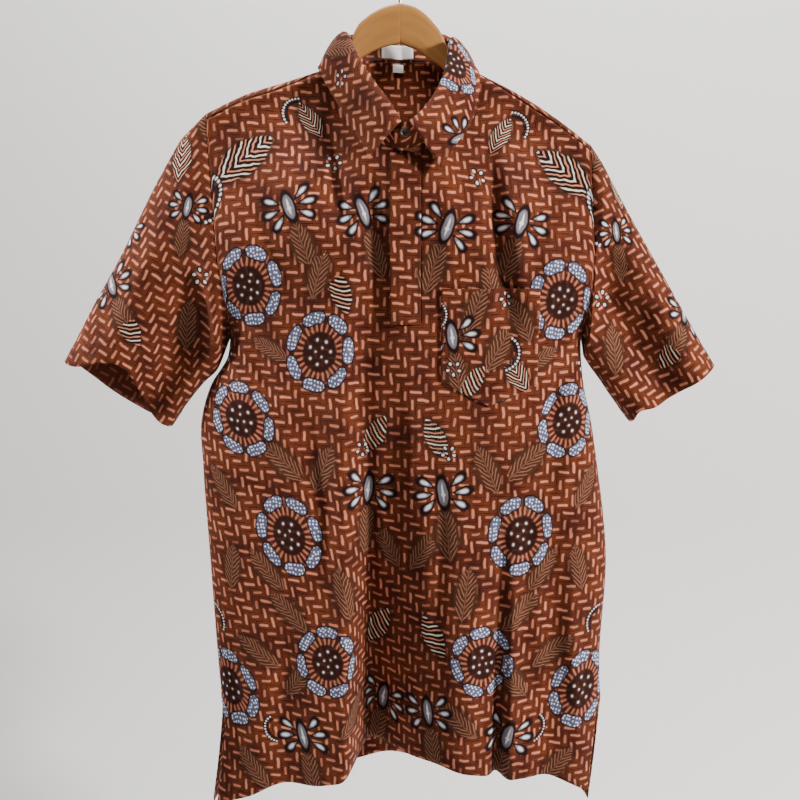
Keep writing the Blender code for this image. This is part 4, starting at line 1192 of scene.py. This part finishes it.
def edge_point(side, along):
    return np.stack([collar_column(side, along, "edge x"), collar_column(side, along, "edge y"),
                     -collar_column(side, along, "edge drop")], axis=-1)


def collar_wall(side, along):
    """The seam, the fold, the inward and the upward direction at places of the collar."""
    seam = neck_seam(side, along)
    fold = fold_point(side, along)
    inward = unit(fold * np.array((-1, -1, 0)))
    lap = (-0.0013 if side == "right" else 0.0013) * ease((along - 0.88) / 0.12)
    shift = np.stack([0 * lap, lap, 0 * lap], axis=-1)
    return seam + shift, fold + shift, inward, unit(fold - seam)


def stand_points(side, along, share):
    """share runs down the stand, from the fold (0) to the neck seam (1)."""
    seam, fold, inward, up = collar_wall(side, along)
    over_ridge = NECK_POINT_LIFT * np.exp(-((along - FRONT_NECK_START) / 0.05) ** 2)[..., None]
    foot = seam + up * (4 * SEAM_GAP + over_ridge) + inward * 2 * SEAM_GAP
    top = fold - up * (FOLD_LIFT + SEAM_GAP + 0.0016) + inward * 2 * SEAM_GAP
    return mix(top, foot, share) - inward * 0.0015 * sin(pi * share)


def fall_points(side, along, share):
    """share runs from inside the fold (below 0) over it (0) and down the leaf (1)."""
    _, fold, inward, up = collar_wall(side, along)
    if share < 0:
        turn = -share
        return fold + inward * mix(-0.0018, 0.0008, turn) + up * mix(0.0, -FOLD_LIFT, turn ** 2)
    edge = edge_point(side, along)
    bulge = 0.0032 * sin(pi * min(share + 0.12, 1.0)) + 0.0016 * ease(share / 0.10)
    roll = 0.0012 * np.sin(9 * along + 2.0)[..., None] * share ** 2
    return mix(fold, edge, share) - inward * (0.0018 + bulge) - inward * roll


# %% Collar stand and leaves
def whole_collar(place, shares, last):
    """A grid from the left front end round the back to the right front end."""
    half = np.concatenate([np.linspace(0, 0.28, 18), np.linspace(0.29, 0.37, 14),
                           np.linspace(0.385, last, LINES_OF_COLLAR)])
    rows = []
    for share in shares:
        left, right = place("left", half, share), place("right", half, share)
        rows.append(np.concatenate([left[:0:-1], right]))
    return np.array(rows)


def strip_uv(points, turn):
    """Even cloth lengths over a strip: along from its middle column, and down, then turned."""
    along = np.linalg.norm(np.diff(points, axis=1), axis=2).mean(axis=0)
    along = np.concatenate([[0], np.cumsum(along)])
    along = along - along[len(along) // 2]
    down = lengths_along(points, 0)
    u = np.broadcast_to(along, down.shape)
    a = radians(turn)
    return np.stack([u * cos(a) - down * sin(a), u * sin(a) + down * cos(a)], axis=-1)


def turned_motifs(rows, turn, sides=(-1, 1)):
    """The motifs of a strip, moved with its turned print."""
    moved = []
    for side in sides:
        for kind, out, down, motif_turn, size, tone in rows:
            a = radians(turn)
            u, v = side * out, down
            moved.append((kind, u * cos(a) - v * sin(a), u * sin(a) + v * cos(a),
                          side * motif_turn + turn, size, tone))
    return moved


stand = whole_collar(stand_points, np.linspace(0, 1, 14), 1.05)
cloth("collar_band", stand, strip_uv(stand, 0), [], (batik, batik), thickness=COLLAR_CLOTH)
fall_shares = np.concatenate([
    np.linspace(-1, -0.2, 4), np.linspace(0, 0.12, 4), np.linspace(0.18, 1, 24),
])
fall = whole_collar(fall_points, fall_shares, 1.0)
uv = strip_uv(fall, LEAF_TURN)
leaf_motifs = turned_motifs(ON_COLLAR, LEAF_TURN) + turned_motifs(ON_RIGHT_LEAF, LEAF_TURN, (1,))
cloth("collar_leaves", fall, uv, leaf_motifs, (batik, batik), thickness=COLLAR_CLOTH)
print("collar fold is", round(float(lengths_along(fall, 1)[4, -1]), 3), "m long")

# %% [markdown]
# ## Placket and pocket
# The opening has two bands. The upper one is sewn down on its right side only, so its free left
# edge casts a line of shadow. The pocket's print nearly matches the front's, as a careful maker
# would place it, so only its edges and stitches give it away.

# %% Placket bands and pocket
def band_points(lift_left, lift_right, rows=90, columns=26):
    drop = np.linspace(NECK_CENTRE_DROP - 0.0060, PLACKET_DROP - SEAM_GAP, rows)[:, None]
    across = np.linspace(0, 1, columns)[None, :]
    x = mix(PLACKET_LEFT + SEAM_GAP, PLACKET_RIGHT - SEAM_GAP, across) + 0 * drop
    drop = drop + 0 * across
    wave = 0.0007 * np.sin(38 * drop + 1.0) * (1 - across)
    under_stand = 1 - ease((drop - NECK_CENTRE_DROP + 0.001) / 0.008)
    lift = mix(mix(lift_left, lift_right, across) + wave, -0.0030, under_stand)
    share = x / half_width(x, drop)
    return body_point("front", share, drop, lift), print_place("front", share, drop)


front_motifs = with_feathers(both_sides(BOTH_HALVES, "front"))
points, uv = band_points(-0.0022, -0.0022)
cloth("placket_band_under", points, uv, [], (batik, batik_shaded_inside))
points, uv = band_points(0.0042, 0.0004)
cloth("placket_band_over", points, uv + np.array((0.004, 0.003)), front_motifs, (batik, batik_shaded_inside))


def place_on_front(x, drop, out):
    """Points over the front at x, moved out along the front's own direction."""
    def surface(px, pdrop):
        return body_point("front", px / half_width(px, pdrop), pdrop)

    step = 0.002
    across = surface(x + step, drop) - surface(x - step, drop)
    down = surface(x, drop + step) - surface(x, drop - step)
    return surface(x, drop) + out[..., None] * unit(np.cross(down, across))


POCKET_LEFT, POCKET_RIGHT = 0.0430, 0.1500
POCKET_TOP, POCKET_CORNER, POCKET_TIP = 0.3940, 0.4960, 0.5240


def pocket_drop(across, share):
    bottom = mix(POCKET_TIP, POCKET_CORNER + 0.006 * across, np.abs(2 * across - 1))
    return mix(POCKET_TOP, bottom, share)


across, share = np.meshgrid(np.linspace(0, 1, 55), np.linspace(0, 1, 66))
drop = pocket_drop(across, share)
mouth = 0.0016 * (1 - ease(share / 0.3)) * np.sin(pi * across)
out = 0.0024 + mouth + 0.0004 * (1 - ease((share - 0.17) / 0.02))
points = place_on_front(mix(POCKET_LEFT, POCKET_RIGHT, across), drop, out)
pocket_uv = np.stack([across * (POCKET_RIGHT - POCKET_LEFT), drop - POCKET_TOP], axis=-1)
cloth("chest_pocket", points, pocket_uv, with_feathers(ON_POCKET), (batik, batik_shaded_inside))
print(f"pocket {POCKET_RIGHT - POCKET_LEFT:.3f} m wide, {POCKET_TIP - POCKET_TOP:.3f} m deep")

# %% [markdown]
# ## Button, neck label and size tab
# The button is turned with a raised rim and four holes, crossed by thread. The label is a blank
# woven patch with a border, and the tab is plain white tape.

# %% Button
def mesh_piece(name, vertices, faces, materials, smooth=True):
    mesh = bpy.data.meshes.new(name)
    mesh.from_pydata([tuple(map(float, vertex)) for vertex in vertices], [], faces)
    edit = bmesh.new()
    edit.from_mesh(mesh)
    bmesh.ops.recalc_face_normals(edit, faces=edit.faces)
    edit.to_mesh(mesh)
    edit.free()
    if smooth:
        mesh.shade_smooth()
    piece = add_object(name, mesh)
    for material in materials:
        mesh.materials.append(material)
    pieces[name] = piece
    return piece


def make_plain(piece, name):
    """The finished shape of a piece with live modifiers, as a plain mesh at the origin."""
    finished = piece.evaluated_get(bpy.context.evaluated_depsgraph_get())
    mesh = bpy.data.meshes.new_from_object(finished)
    mesh.transform(piece.matrix_world)
    mesh.name = name
    plain = add_object(name, mesh)
    bpy.data.objects.remove(piece)
    pieces[name] = plain
    return plain


horn, tree, shader = new_material("button_horn", (0.045, 0.016, 0.010), 0.42)
low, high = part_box("button_top")
button_middle = (Vector(low) + Vector(high)) / 2
RADIUS, THICK, HOLE, HOLE_OUT, BUTTON_TILT = 0.0052, 0.0026, 0.00055, 0.0012, 96
# Columns: out, height.
PROFILE_ROWS = [(0.0, 0.62), (0.30, 0.64), (0.52, 0.74), (0.64, 0.93), (0.74, 1.0), (0.88, 1.0),
                (0.96, 0.88), (1.0, 0.66), (0.99, 0.36), (0.94, 0.08), (0.86, 0.0), (0.0, 0.0)]
mesh = bpy.data.meshes.new("profile")
mesh.from_pydata([(RADIUS * out, 0, THICK * (height - 0.5)) for out, height in PROFILE_ROWS],
                 [(k, k + 1) for k in range(len(PROFILE_ROWS) - 1)], [])
turned = add_object("turned", mesh)
screw = turned.modifiers.new("turn", "SCREW")
screw.steps = screw.render_steps = 64
screw.use_merge_vertices = True
screw.merge_threshold = 0.00001
mesh.materials.append(horn)


def hole_place(k):
    turn = pi / 4 + k * pi / 2
    return Vector((HOLE_OUT * cos(turn), HOLE_OUT * sin(turn), 0))


drills = []
for k in range(4):
    bpy.ops.mesh.primitive_cylinder_add(radius=HOLE, depth=0.02, vertices=24)
    drill = bpy.context.object
    drill.location = hole_place(k)
    cut = turned.modifiers.new("hole", "BOOLEAN")
    cut.operation = "DIFFERENCE"
    cut.object = drill
    drills.append(drill)
bpy.context.view_layer.update()
button = make_plain(turned, "collar_button")
for drill in drills:
    bpy.data.objects.remove(drill)
button_place = Matrix.Translation(button_middle) @ Matrix.Rotation(radians(BUTTON_TILT), 4, "X")
button.data.transform(button_place)
button.data.shade_smooth()
button.data.set_sharp_from_angle(angle=radians(40))

# %% Label and tab
label_cloth, tree, shader = new_material("woven_label", (0.42, 0.42, 0.43), 0.55)
uv, u, v = cloth_map(tree)
edge = size_of(u - 0.5).do("MAXIMUM", size_of(v - 0.5))
border = within(size_of(edge - 0.44), 0.018, 0.012)
ribs = noise(tree, uv, 160, 1.0)
color = lay(tree, (0.46, 0.46, 0.47), (0.66, 0.66, 0.66), ribs)
color = lay(tree, color, (0.74, 0.73, 0.70), border)
tree.links.new(color, shader.inputs["Base Color"])
white_tape, tree, shader = new_material("white_tape", (0.80, 0.80, 0.78), 0.80)

LABEL_PATCHES = {"blank_label": (-0.0228, 0.0129, 0.1205, 0.1365, label_cloth),
                 "blank_tab": (-0.0100, 0.0014, 0.1425, 0.1515, white_tape)}
for name, (left, right, top, bottom, material) in LABEL_PATCHES.items():
    x, drop = np.meshgrid(np.linspace(left, right, 26), np.linspace(top, bottom, 14))
    along = np.abs(x) / 0.215 / NECK_SHARE * BACK_NECK_END
    seam = np.where((x < 0)[..., None], neck_seam("left", along), neck_seam("right", along))
    fold = np.where((x < 0)[..., None], fold_point("left", along), fold_point("right", along))
    if name == "blank_label":
        y = mix(fold, seam, ((drop - 0.105) / 0.035)[..., None])[..., 1] - 0.0040
    else:
        y = seam[..., 1] - 0.0052 - 0.0006 * np.sin((drop - top) / (bottom - top) * pi)
    points = np.stack([x, y, -drop], axis=-1)
    uv = np.stack([(x - left) / (right - left), (drop - top) / (bottom - top)], axis=-1)
    cloth(name, points, uv, [], (material,), thickness=0.0006)
print("button, label and tab made")

# %% [markdown]
# ## The hanger
# Two arms of pale hardwood are joined at a slanted seam under the hook. The grain runs along each
# arm. The hook is one bent wire.

# %% Hanger
HOOK_WIRE = 0.0019
HOOK_BEND = 0.0200
ARM_THICK = 0.0125
MITRE_X = -0.0020
ARMS = ("out", "left top", "left under", "right top", "right under")
ARM_ROWS = [
    (0.000, 0.0797, 0.1240, 0.0797, 0.1240), (0.020, 0.0850, 0.1285, 0.0860, 0.1320),
    (0.036, 0.0945, 0.1360, 0.1000, 0.1430), (0.048, 0.1065, 0.1450, 0.1170, 0.1520),
    (0.054, 0.1200, 0.1540, 0.1330, 0.1600), (0.060, 0.1500, 0.1660, 0.1490, 0.1690),
    (0.066, 0.1545, 0.1720, 0.1555, 0.1750), (0.074, 0.1575, 0.1780, 0.1600, 0.1820),
    (0.100, 0.1625, 0.1860, 0.1700, 0.1940), (0.150, 0.1790, 0.2030, 0.1990, 0.2230),
    (0.180, 0.1895, 0.2120, 0.2180, 0.2400), (0.196, 0.1990, 0.2120, 0.2310, 0.2430),
]

wood, tree, shader = new_material("hanger_wood", (0.40, 0.195, 0.062), 0.42)
shader.inputs["Coat Weight"].default_value = 0.05
shader.inputs["Specular IOR Level"].default_value = 0.25
shader.inputs["Coat Roughness"].default_value = 0.25
uv, u, v = cloth_map(tree)
streaks = noise(tree, join(tree, u * 9.0, v * 160.0), 1.0, 4.0)
pores = noise(tree, join(tree, u * 60.0, v * 900.0), 1.0, 2.0)
dark_wood, pale_wood, pore = (0.300, 0.125, 0.030), (0.470, 0.225, 0.066), (0.250, 0.105, 0.035)
color = lay(tree, dark_wood, pale_wood, streaks.do("MULTIPLY_ADD", 2.2, -0.6, clamp=True))
color = lay(tree, color, pore, pores.do("MULTIPLY_ADD", 3.0, -1.75, clamp=True) * 0.5)
tree.links.new(color, shader.inputs["Base Color"])

AROUND = 64
GRAIN_WIDTH = 0.06


def make_arm(side):
    sign = sign_of(side)
    outs = np.concatenate([[0.0, 0.0005], np.linspace(0.002, 0.196, 98), [0.1972, 0.1976]])
    inside = np.minimum(outs, 0.196)
    top = through(ARM_ROWS, ARMS.index(side + " top"))(inside)
    under = through(ARM_ROWS, ARMS.index(side + " under"))(inside)
    end = np.ones(len(outs))
    end[0], end[-2:] = 0.985, (0.8, 0.4)
    tip = (1 - 0.45 * ease((outs - 0.178) / 0.018)) * end
    turn = 2 * pi * np.arange(AROUND) / AROUND
    c, s = np.cos(turn), np.sin(turn)
    y = (ARM_THICK / 2 * tip)[:, None] * np.sign(c) * np.abs(c) ** 0.6 - ridge_forward(inside)[:, None]
    tall = (under - top) / 2 * np.where(end < 0.9, end, 1)
    z = tall[:, None] * np.sign(s) * np.abs(s) ** 0.6 - ((top + under) / 2)[:, None]
    x = np.broadcast_to((MITRE_X + sign * np.minimum(outs, 0.1975))[:, None], y.shape)
    points = np.stack([x, y, z], axis=-1).reshape(-1, 3)
    rings = len(outs)
    faces = [(r * AROUND + k, r * AROUND + (k + 1) % AROUND, (r + 1) * AROUND + (k + 1) % AROUND,
              (r + 1) * AROUND + k) for r in range(rings - 1) for k in range(AROUND)]
    faces.append(tuple(range(AROUND)))
    faces.append(tuple((rings - 1) * AROUND + k for k in range(AROUND)))
    arm = mesh_piece("wood_arm_" + side, points, faces, (wood,))
    arm.data.set_sharp_from_angle(angle=radians(50))
    layer = arm.data.uv_layers.new(name="cloth")
    step = np.hypot(np.diff(outs), np.diff(top))
    run = np.concatenate([[0], np.cumsum(step)])
    for loop in arm.data.loops:
        ring, k = divmod(loop.vertex_index, AROUND)
        along = float(run[ring]) * sign + 2 * (sign > 0)
        layer.data[loop.index].uv = (along, abs(k - AROUND / 2) / AROUND * GRAIN_WIDTH)


for side in ("left", "right"):
    make_arm(side)

steel, tree, shader = new_material("hook_steel", (0.62, 0.62, 0.60), 0.24, 1.0)
bend = HOOK_BEND + HOOK_WIRE
path = [(MITRE_X, 0, -0.0975), (MITRE_X, 0, -0.080), (MITRE_X, 0, -0.066), (-0.0010, 0, -0.0565),
        (0.0030, 0, -0.0480)]
for k in range(49):
    turn = mix(radians(-62), radians(200), k / 48)
    path.append((bend * cos(turn), 0, -HOOK_BEND + bend * sin(turn)))
curve = bpy.data.curves.new("hook_wire", "CURVE")
curve.dimensions = "3D"
curve.bevel_depth = HOOK_WIRE
curve.bevel_resolution = 6
curve.use_fill_caps = True
spline = curve.splines.new("POLY")
spline.points.add(len(path) - 1)
for point, place in zip(spline.points, path):
    point.co = (*place, 1)
curve.materials.append(steel)
make_plain(add_object("hook_curve", curve), "hook_wire")
print("hanger made")

# %% [markdown]
# ## Stitches
# Every seam that shows is stitched. One Geometry Nodes tree turns a line into a row of small
# rounded stitches, each lying along the line, and it serves all the seams.

# %% The stitch tree
STITCH_PITCH = 0.0030
STITCH_LENGTH = 0.0024
THREAD = 0.00022
thread, tree, shader = new_material("sewing_thread", (0.085, 0.026, 0.016), 0.60)


def stitch_tree():
    group = bpy.data.node_groups.new("stitch_row", "GeometryNodeTree")
    face = group.interface
    face.new_socket("Line", in_out="INPUT", socket_type="NodeSocketGeometry")
    for name, value in (("Pitch", STITCH_PITCH), ("Length", STITCH_LENGTH), ("Thread", THREAD)):
        face.new_socket(name, in_out="INPUT", socket_type="NodeSocketFloat").default_value = value
    face.new_socket("Material", in_out="INPUT", socket_type="NodeSocketMaterial")
    face.new_socket("Stitches", in_out="OUTPUT", socket_type="NodeSocketGeometry")
    enter, leave, to_curve, to_points, bead, half, size, place, realize, paint = (
        group.nodes.new(kind) for kind in (
            "NodeGroupInput", "NodeGroupOutput", "GeometryNodeMeshToCurve",
            "GeometryNodeCurveToPoints", "GeometryNodeMeshUVSphere", "ShaderNodeMath",
            "ShaderNodeCombineXYZ", "GeometryNodeInstanceOnPoints",
            "GeometryNodeRealizeInstances", "GeometryNodeSetMaterial"))
    to_points.mode = "LENGTH"
    for name, value in (("Segments", 6), ("Rings", 4), ("Radius", 1.0)):
        bead.inputs[name].default_value = value
    half.operation = "MULTIPLY"
    half.inputs[1].default_value = 0.5
    for start, output, end, place_in in (
            (enter, "Line", to_curve, 0), (to_curve, 0, to_points, 0),
            (enter, "Pitch", to_points, "Length"), (to_points, "Points", place, "Points"),
            (to_points, "Rotation", place, "Rotation"), (bead, "Mesh", place, "Instance"),
            (enter, "Length", half, 0), (enter, "Thread", size, 0), (enter, "Thread", size, 1),
            (half, 0, size, 2), (size, 0, place, "Scale"), (place, 0, realize, 0),
            (realize, 0, paint, "Geometry"), (enter, "Material", paint, "Material"),
            (paint, 0, leave, 0)):
        group.links.new(start.outputs[output], end.inputs[place_in])
    return group


STITCHING = stitch_tree()


def stitch(name, lines):
    """Rows of stitches along lines of points, as one plain mesh."""
    vertices, edges = [], []
    for line in lines:
        edges += [(len(vertices) + k, len(vertices) + k + 1) for k in range(len(line) - 1)]
        vertices += [tuple(map(float, point)) for point in line]
    mesh = bpy.data.meshes.new(name)
    mesh.from_pydata(vertices, edges, [])
    rows = add_object(name + "_line", mesh)
    live = rows.modifiers.new("stitches", "NODES")
    live.node_group = STITCHING
    for item in STITCHING.interface.items_tree:
        if item.item_type == "SOCKET" and item.in_out == "INPUT" and item.name == "Material":
            live[item.identifier] = thread
    bpy.context.view_layer.update()
    plain = make_plain(rows, name)
    plain.data.shade_smooth()
    print(name, len(plain.data.polygons), "faces")
    return plain


# %% Where the stitches run
PROUD = 0.0002
PROUD_OF_COLLAR = 0.0017


def hem_line(panel, hem, shares):
    drop = hem(shares) - HEM_TURN
    share = vent(shares, drop) if panel == "front" else shares
    return body_point(panel, share, drop, PROUD)


long_shares = np.linspace(-0.985, 0.985, 260)
stitch("hem_stitches", [
    hem_line("front", front_hem, long_shares), hem_line("back", back_hem, long_shares)])
shoulder = np.linspace(0.35, 0.985, 70)
stitch("shoulder_stitches", [
    over_shoulder(sign * shoulder * half_width(sign, TOP_DROP), 0.06) + np.array((0, -0.0001, 0.0002))
    for sign in (-1, 1)])
cuff_turn = np.linspace(0.02, 2 * pi - 0.02, 240)
stitch("cuff_stitches", [
    sleeve_point(side, 1 - CUFF_TURN / length + 0 * cuff_turn, cuff_turn, PROUD)
    for side, length in sleeve_lengths.items()])


def outside(line):
    return line + unit(line * np.array((1, 1, 0))) * PROUD_OF_COLLAR


def on_strip(points, row_share, start, end):
    """A line over a strip's grid, at a share of its rows, a little outside it."""
    row = row_share * (len(points) - 1)
    r = min(int(row), len(points) - 2)
    return outside(mix(points[r], points[r + 1], row - r)[start:end])


stitch("collar_stitches", [
    on_strip(fall, 0.955, 1, -1), outside(fall[10:-2, 1]), outside(fall[10:-2, -2]),
    on_strip(stand, 0.93, 24, -24)])


def band_line(x, drop, out):
    return body_point("front", x / half_width(x, drop), drop, out)


STITCH_LEFT, STITCH_RIGHT = -0.0105, 0.0185
BAR_LEVELS = (0.004, 0.016)
down = np.linspace(NECK_CENTRE_DROP + 0.006, PLACKET_DROP - 0.004, 80)
cross = np.linspace(STITCH_LEFT, STITCH_RIGHT, 16)
stitch("placket_stitches", [band_line(STITCH_RIGHT + 0 * down, down, 0.0009)] + [
    band_line(cross, PLACKET_DROP - level + 0 * cross, mix(0.0041, 0.0009, (cross + 0.0127) / 0.033))
    for level in BAR_LEVELS])


def pocket_line(across, share, out):
    """A line on the pocket. across and share run from 0 to 1 over its width and depth."""
    across, share, out = np.broadcast_arrays(across, share, out)
    return place_on_front(mix(POCKET_LEFT, POCKET_RIGHT, across), pocket_drop(across, share), out)


side, cross = np.linspace(0.0, 0.98, 60), np.linspace(0.02, 0.98, 60)
stitch("pocket_stitches", [
    pocket_line(0.02, side, 0.0027), pocket_line(0.98, side, 0.0027),
    pocket_line(cross, 0.98, 0.0027), pocket_line(cross, 0.18, 0.0032 + 0.0013 * np.sin(pi * cross))])

stitch("button_thread", [
    [button_place @ (hole_place(k) * share + Vector((0, 0, 0.0006 + 0.0002 * k)))
     for share in (-1, 0, 1)]
    for k in range(2)])

# %% [markdown]
# ## What each piece stands for
# A table names the plain solid that each fine piece stands for. That solid is hidden, and every
# piece rides on one body.

# %% Pieces and bodies
STANDS_FOR = {
    "shirt_front": "front", "shirt_back": "back", "sleeve_of_left": "sleeve_left",
    "sleeve_of_right": "sleeve_right", "collar_band": "collar_stand", "collar_leaves": "collar_fall",
    "placket_band_over": "placket_over", "placket_band_under": "placket_under",
    "chest_pocket": "pocket", "collar_button": "button_top", "blank_label": "neck_label",
    "blank_tab": "size_tab", "wood_arm_left": "hanger_arm_left",
    "wood_arm_right": "hanger_arm_right", "hook_wire": "hanger_hook",
}
for name, piece in pieces.items():
    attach(piece, "root")
    if name in STANDS_FOR:
        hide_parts(STANDS_FOR[name])


# %% [markdown]
# ## Stage, light and camera
# A plain pale sweep stands behind the shirt. Its back face is clear, so that the shirt can also be
# looked at from behind. The key light comes from the right and shapes the folds, and weak ones fill
# the left side, the neck and the left sleeve. The world lights the cloth only faintly, and looks
# pale where it is seen. The camera stands in front, a little above the middle of the shirt.

# %% Stage
FLOOR_Z, WALL_Y, SWEEP = -1.32, 0.95, 0.45
profile = [(-3.2, FLOOR_Z), (WALL_Y - SWEEP, FLOOR_Z)]
profile += [(WALL_Y - SWEEP + SWEEP * sin(t), FLOOR_Z + SWEEP - SWEEP * cos(t))
            for t in np.linspace(0.05, pi / 2, 24)]
profile += [(WALL_Y, 2.6)]
vertices = [(x, y, z) for y, z in profile for x in (-3.5, 3.5)]
faces = [(2 * k, 2 * k + 1, 2 * k + 3, 2 * k + 2) for k in range(len(profile) - 1)]
mesh = bpy.data.meshes.new("studio_sweep")
mesh.from_pydata(vertices, [], faces)
mesh.shade_smooth()
sweep = add_object("studio_sweep", mesh)
paper, tree, shader = new_material("pale_paper", (0.80, 0.79, 0.78), 0.90)
clear = tree.nodes.new("ShaderNodeBsdfTransparent")
side_of = tree.nodes.new("ShaderNodeNewGeometry")
one_way = tree.nodes.new("ShaderNodeMixShader")
tree.links.new(side_of.outputs["Backfacing"], one_way.inputs["Fac"])
tree.links.new(shader.outputs["BSDF"], one_way.inputs[1])
tree.links.new(clear.outputs["BSDF"], one_way.inputs[2])
tree.links.new(one_way.outputs["Shader"], tree.nodes["Material Output"].inputs["Surface"])
mesh.materials.append(paper)

# %% Lights
# Columns: name, place, target, size, watts, spread, color.
LIGHT_ROWS = [
    ("key", (2.05, -1.30, 0.60), (0.0, 0.0, -0.50), 0.40, 130.0, 180, (1.0, 0.97, 0.94)),
    ("fill", (-1.70, -1.40, 0.10), (0.0, 0.0, -0.55), 1.0, 3.0, 180, (0.95, 0.97, 1.0)),
    ("top", (-0.30, 0.10, 1.15), (0.0, 0.0, -0.30), 0.5, 17.0, 180, (1.0, 1.0, 1.0)),
    ("neck", (0.0, -0.36, -0.02), (0.0, 0.05, -0.185), 0.04, 0.011, 12, (1.0, 0.97, 0.94)),
    ("left", (-1.80, -0.20, 0.45), (-0.34, 0.0, -0.38), 0.25, 2.2, 30, (1.0, 0.98, 0.96)),
    ("wall", (0.0, 0.20, 1.50), (0.0, 0.95, -0.20), 1.0, 40.0, 180, (1.0, 1.0, 1.0)),
]


def aimed(made, place, target):
    made.location = place
    made.rotation_euler = (Vector(target) - Vector(place)).to_track_quat("-Z", "Y").to_euler()


for name, place, target, size, watts, spread, color in LIGHT_ROWS:
    light = bpy.data.lights.new(name, "AREA")
    light.shape = "DISK"
    light.size, light.energy, light.color = size, watts, color
    light.spread = radians(spread)
    aimed(add_object(name, light), place, target)

# %% World and camera
world = bpy.data.worlds.new("studio")
world.use_nodes = True
tree = world.node_tree
ambient = tree.nodes["Background"]
ambient.inputs["Color"].default_value = (0.95, 0.96, 1.0, 1.0)
ambient.inputs["Strength"].default_value = 0.07
backdrop = tree.nodes.new("ShaderNodeBackground")
backdrop.inputs["Color"].default_value = (0.70, 0.70, 0.69, 1.0)
ray = tree.nodes.new("ShaderNodeLightPath")
seen = tree.nodes.new("ShaderNodeMixShader")
tree.links.new(ray.outputs["Is Camera Ray"], seen.inputs["Fac"])
tree.links.new(ambient.outputs["Background"], seen.inputs[1])
tree.links.new(backdrop.outputs["Background"], seen.inputs[2])
tree.links.new(seen.outputs["Shader"], tree.nodes["World Output"].inputs["Surface"])
bpy.context.scene.world = world

camera = add_object("camera", bpy.data.cameras.new("camera"))
camera.data.lens, camera.data.sensor_width = 56.71, 36
aimed(camera, (0, -1.45, -0.34), (-0.002, 0, -0.526))
bpy.context.scene.camera = camera

# %% Sizes, and the end
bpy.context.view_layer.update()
triangles = {}
depsgraph = bpy.context.evaluated_depsgraph_get()
for name, piece in pieces.items():
    mesh = piece.evaluated_get(depsgraph).to_mesh()
    mesh.calc_loop_triangles()
    triangles[name] = len(mesh.loop_triangles)
print(sum(triangles.values()), "triangles:", triangles)
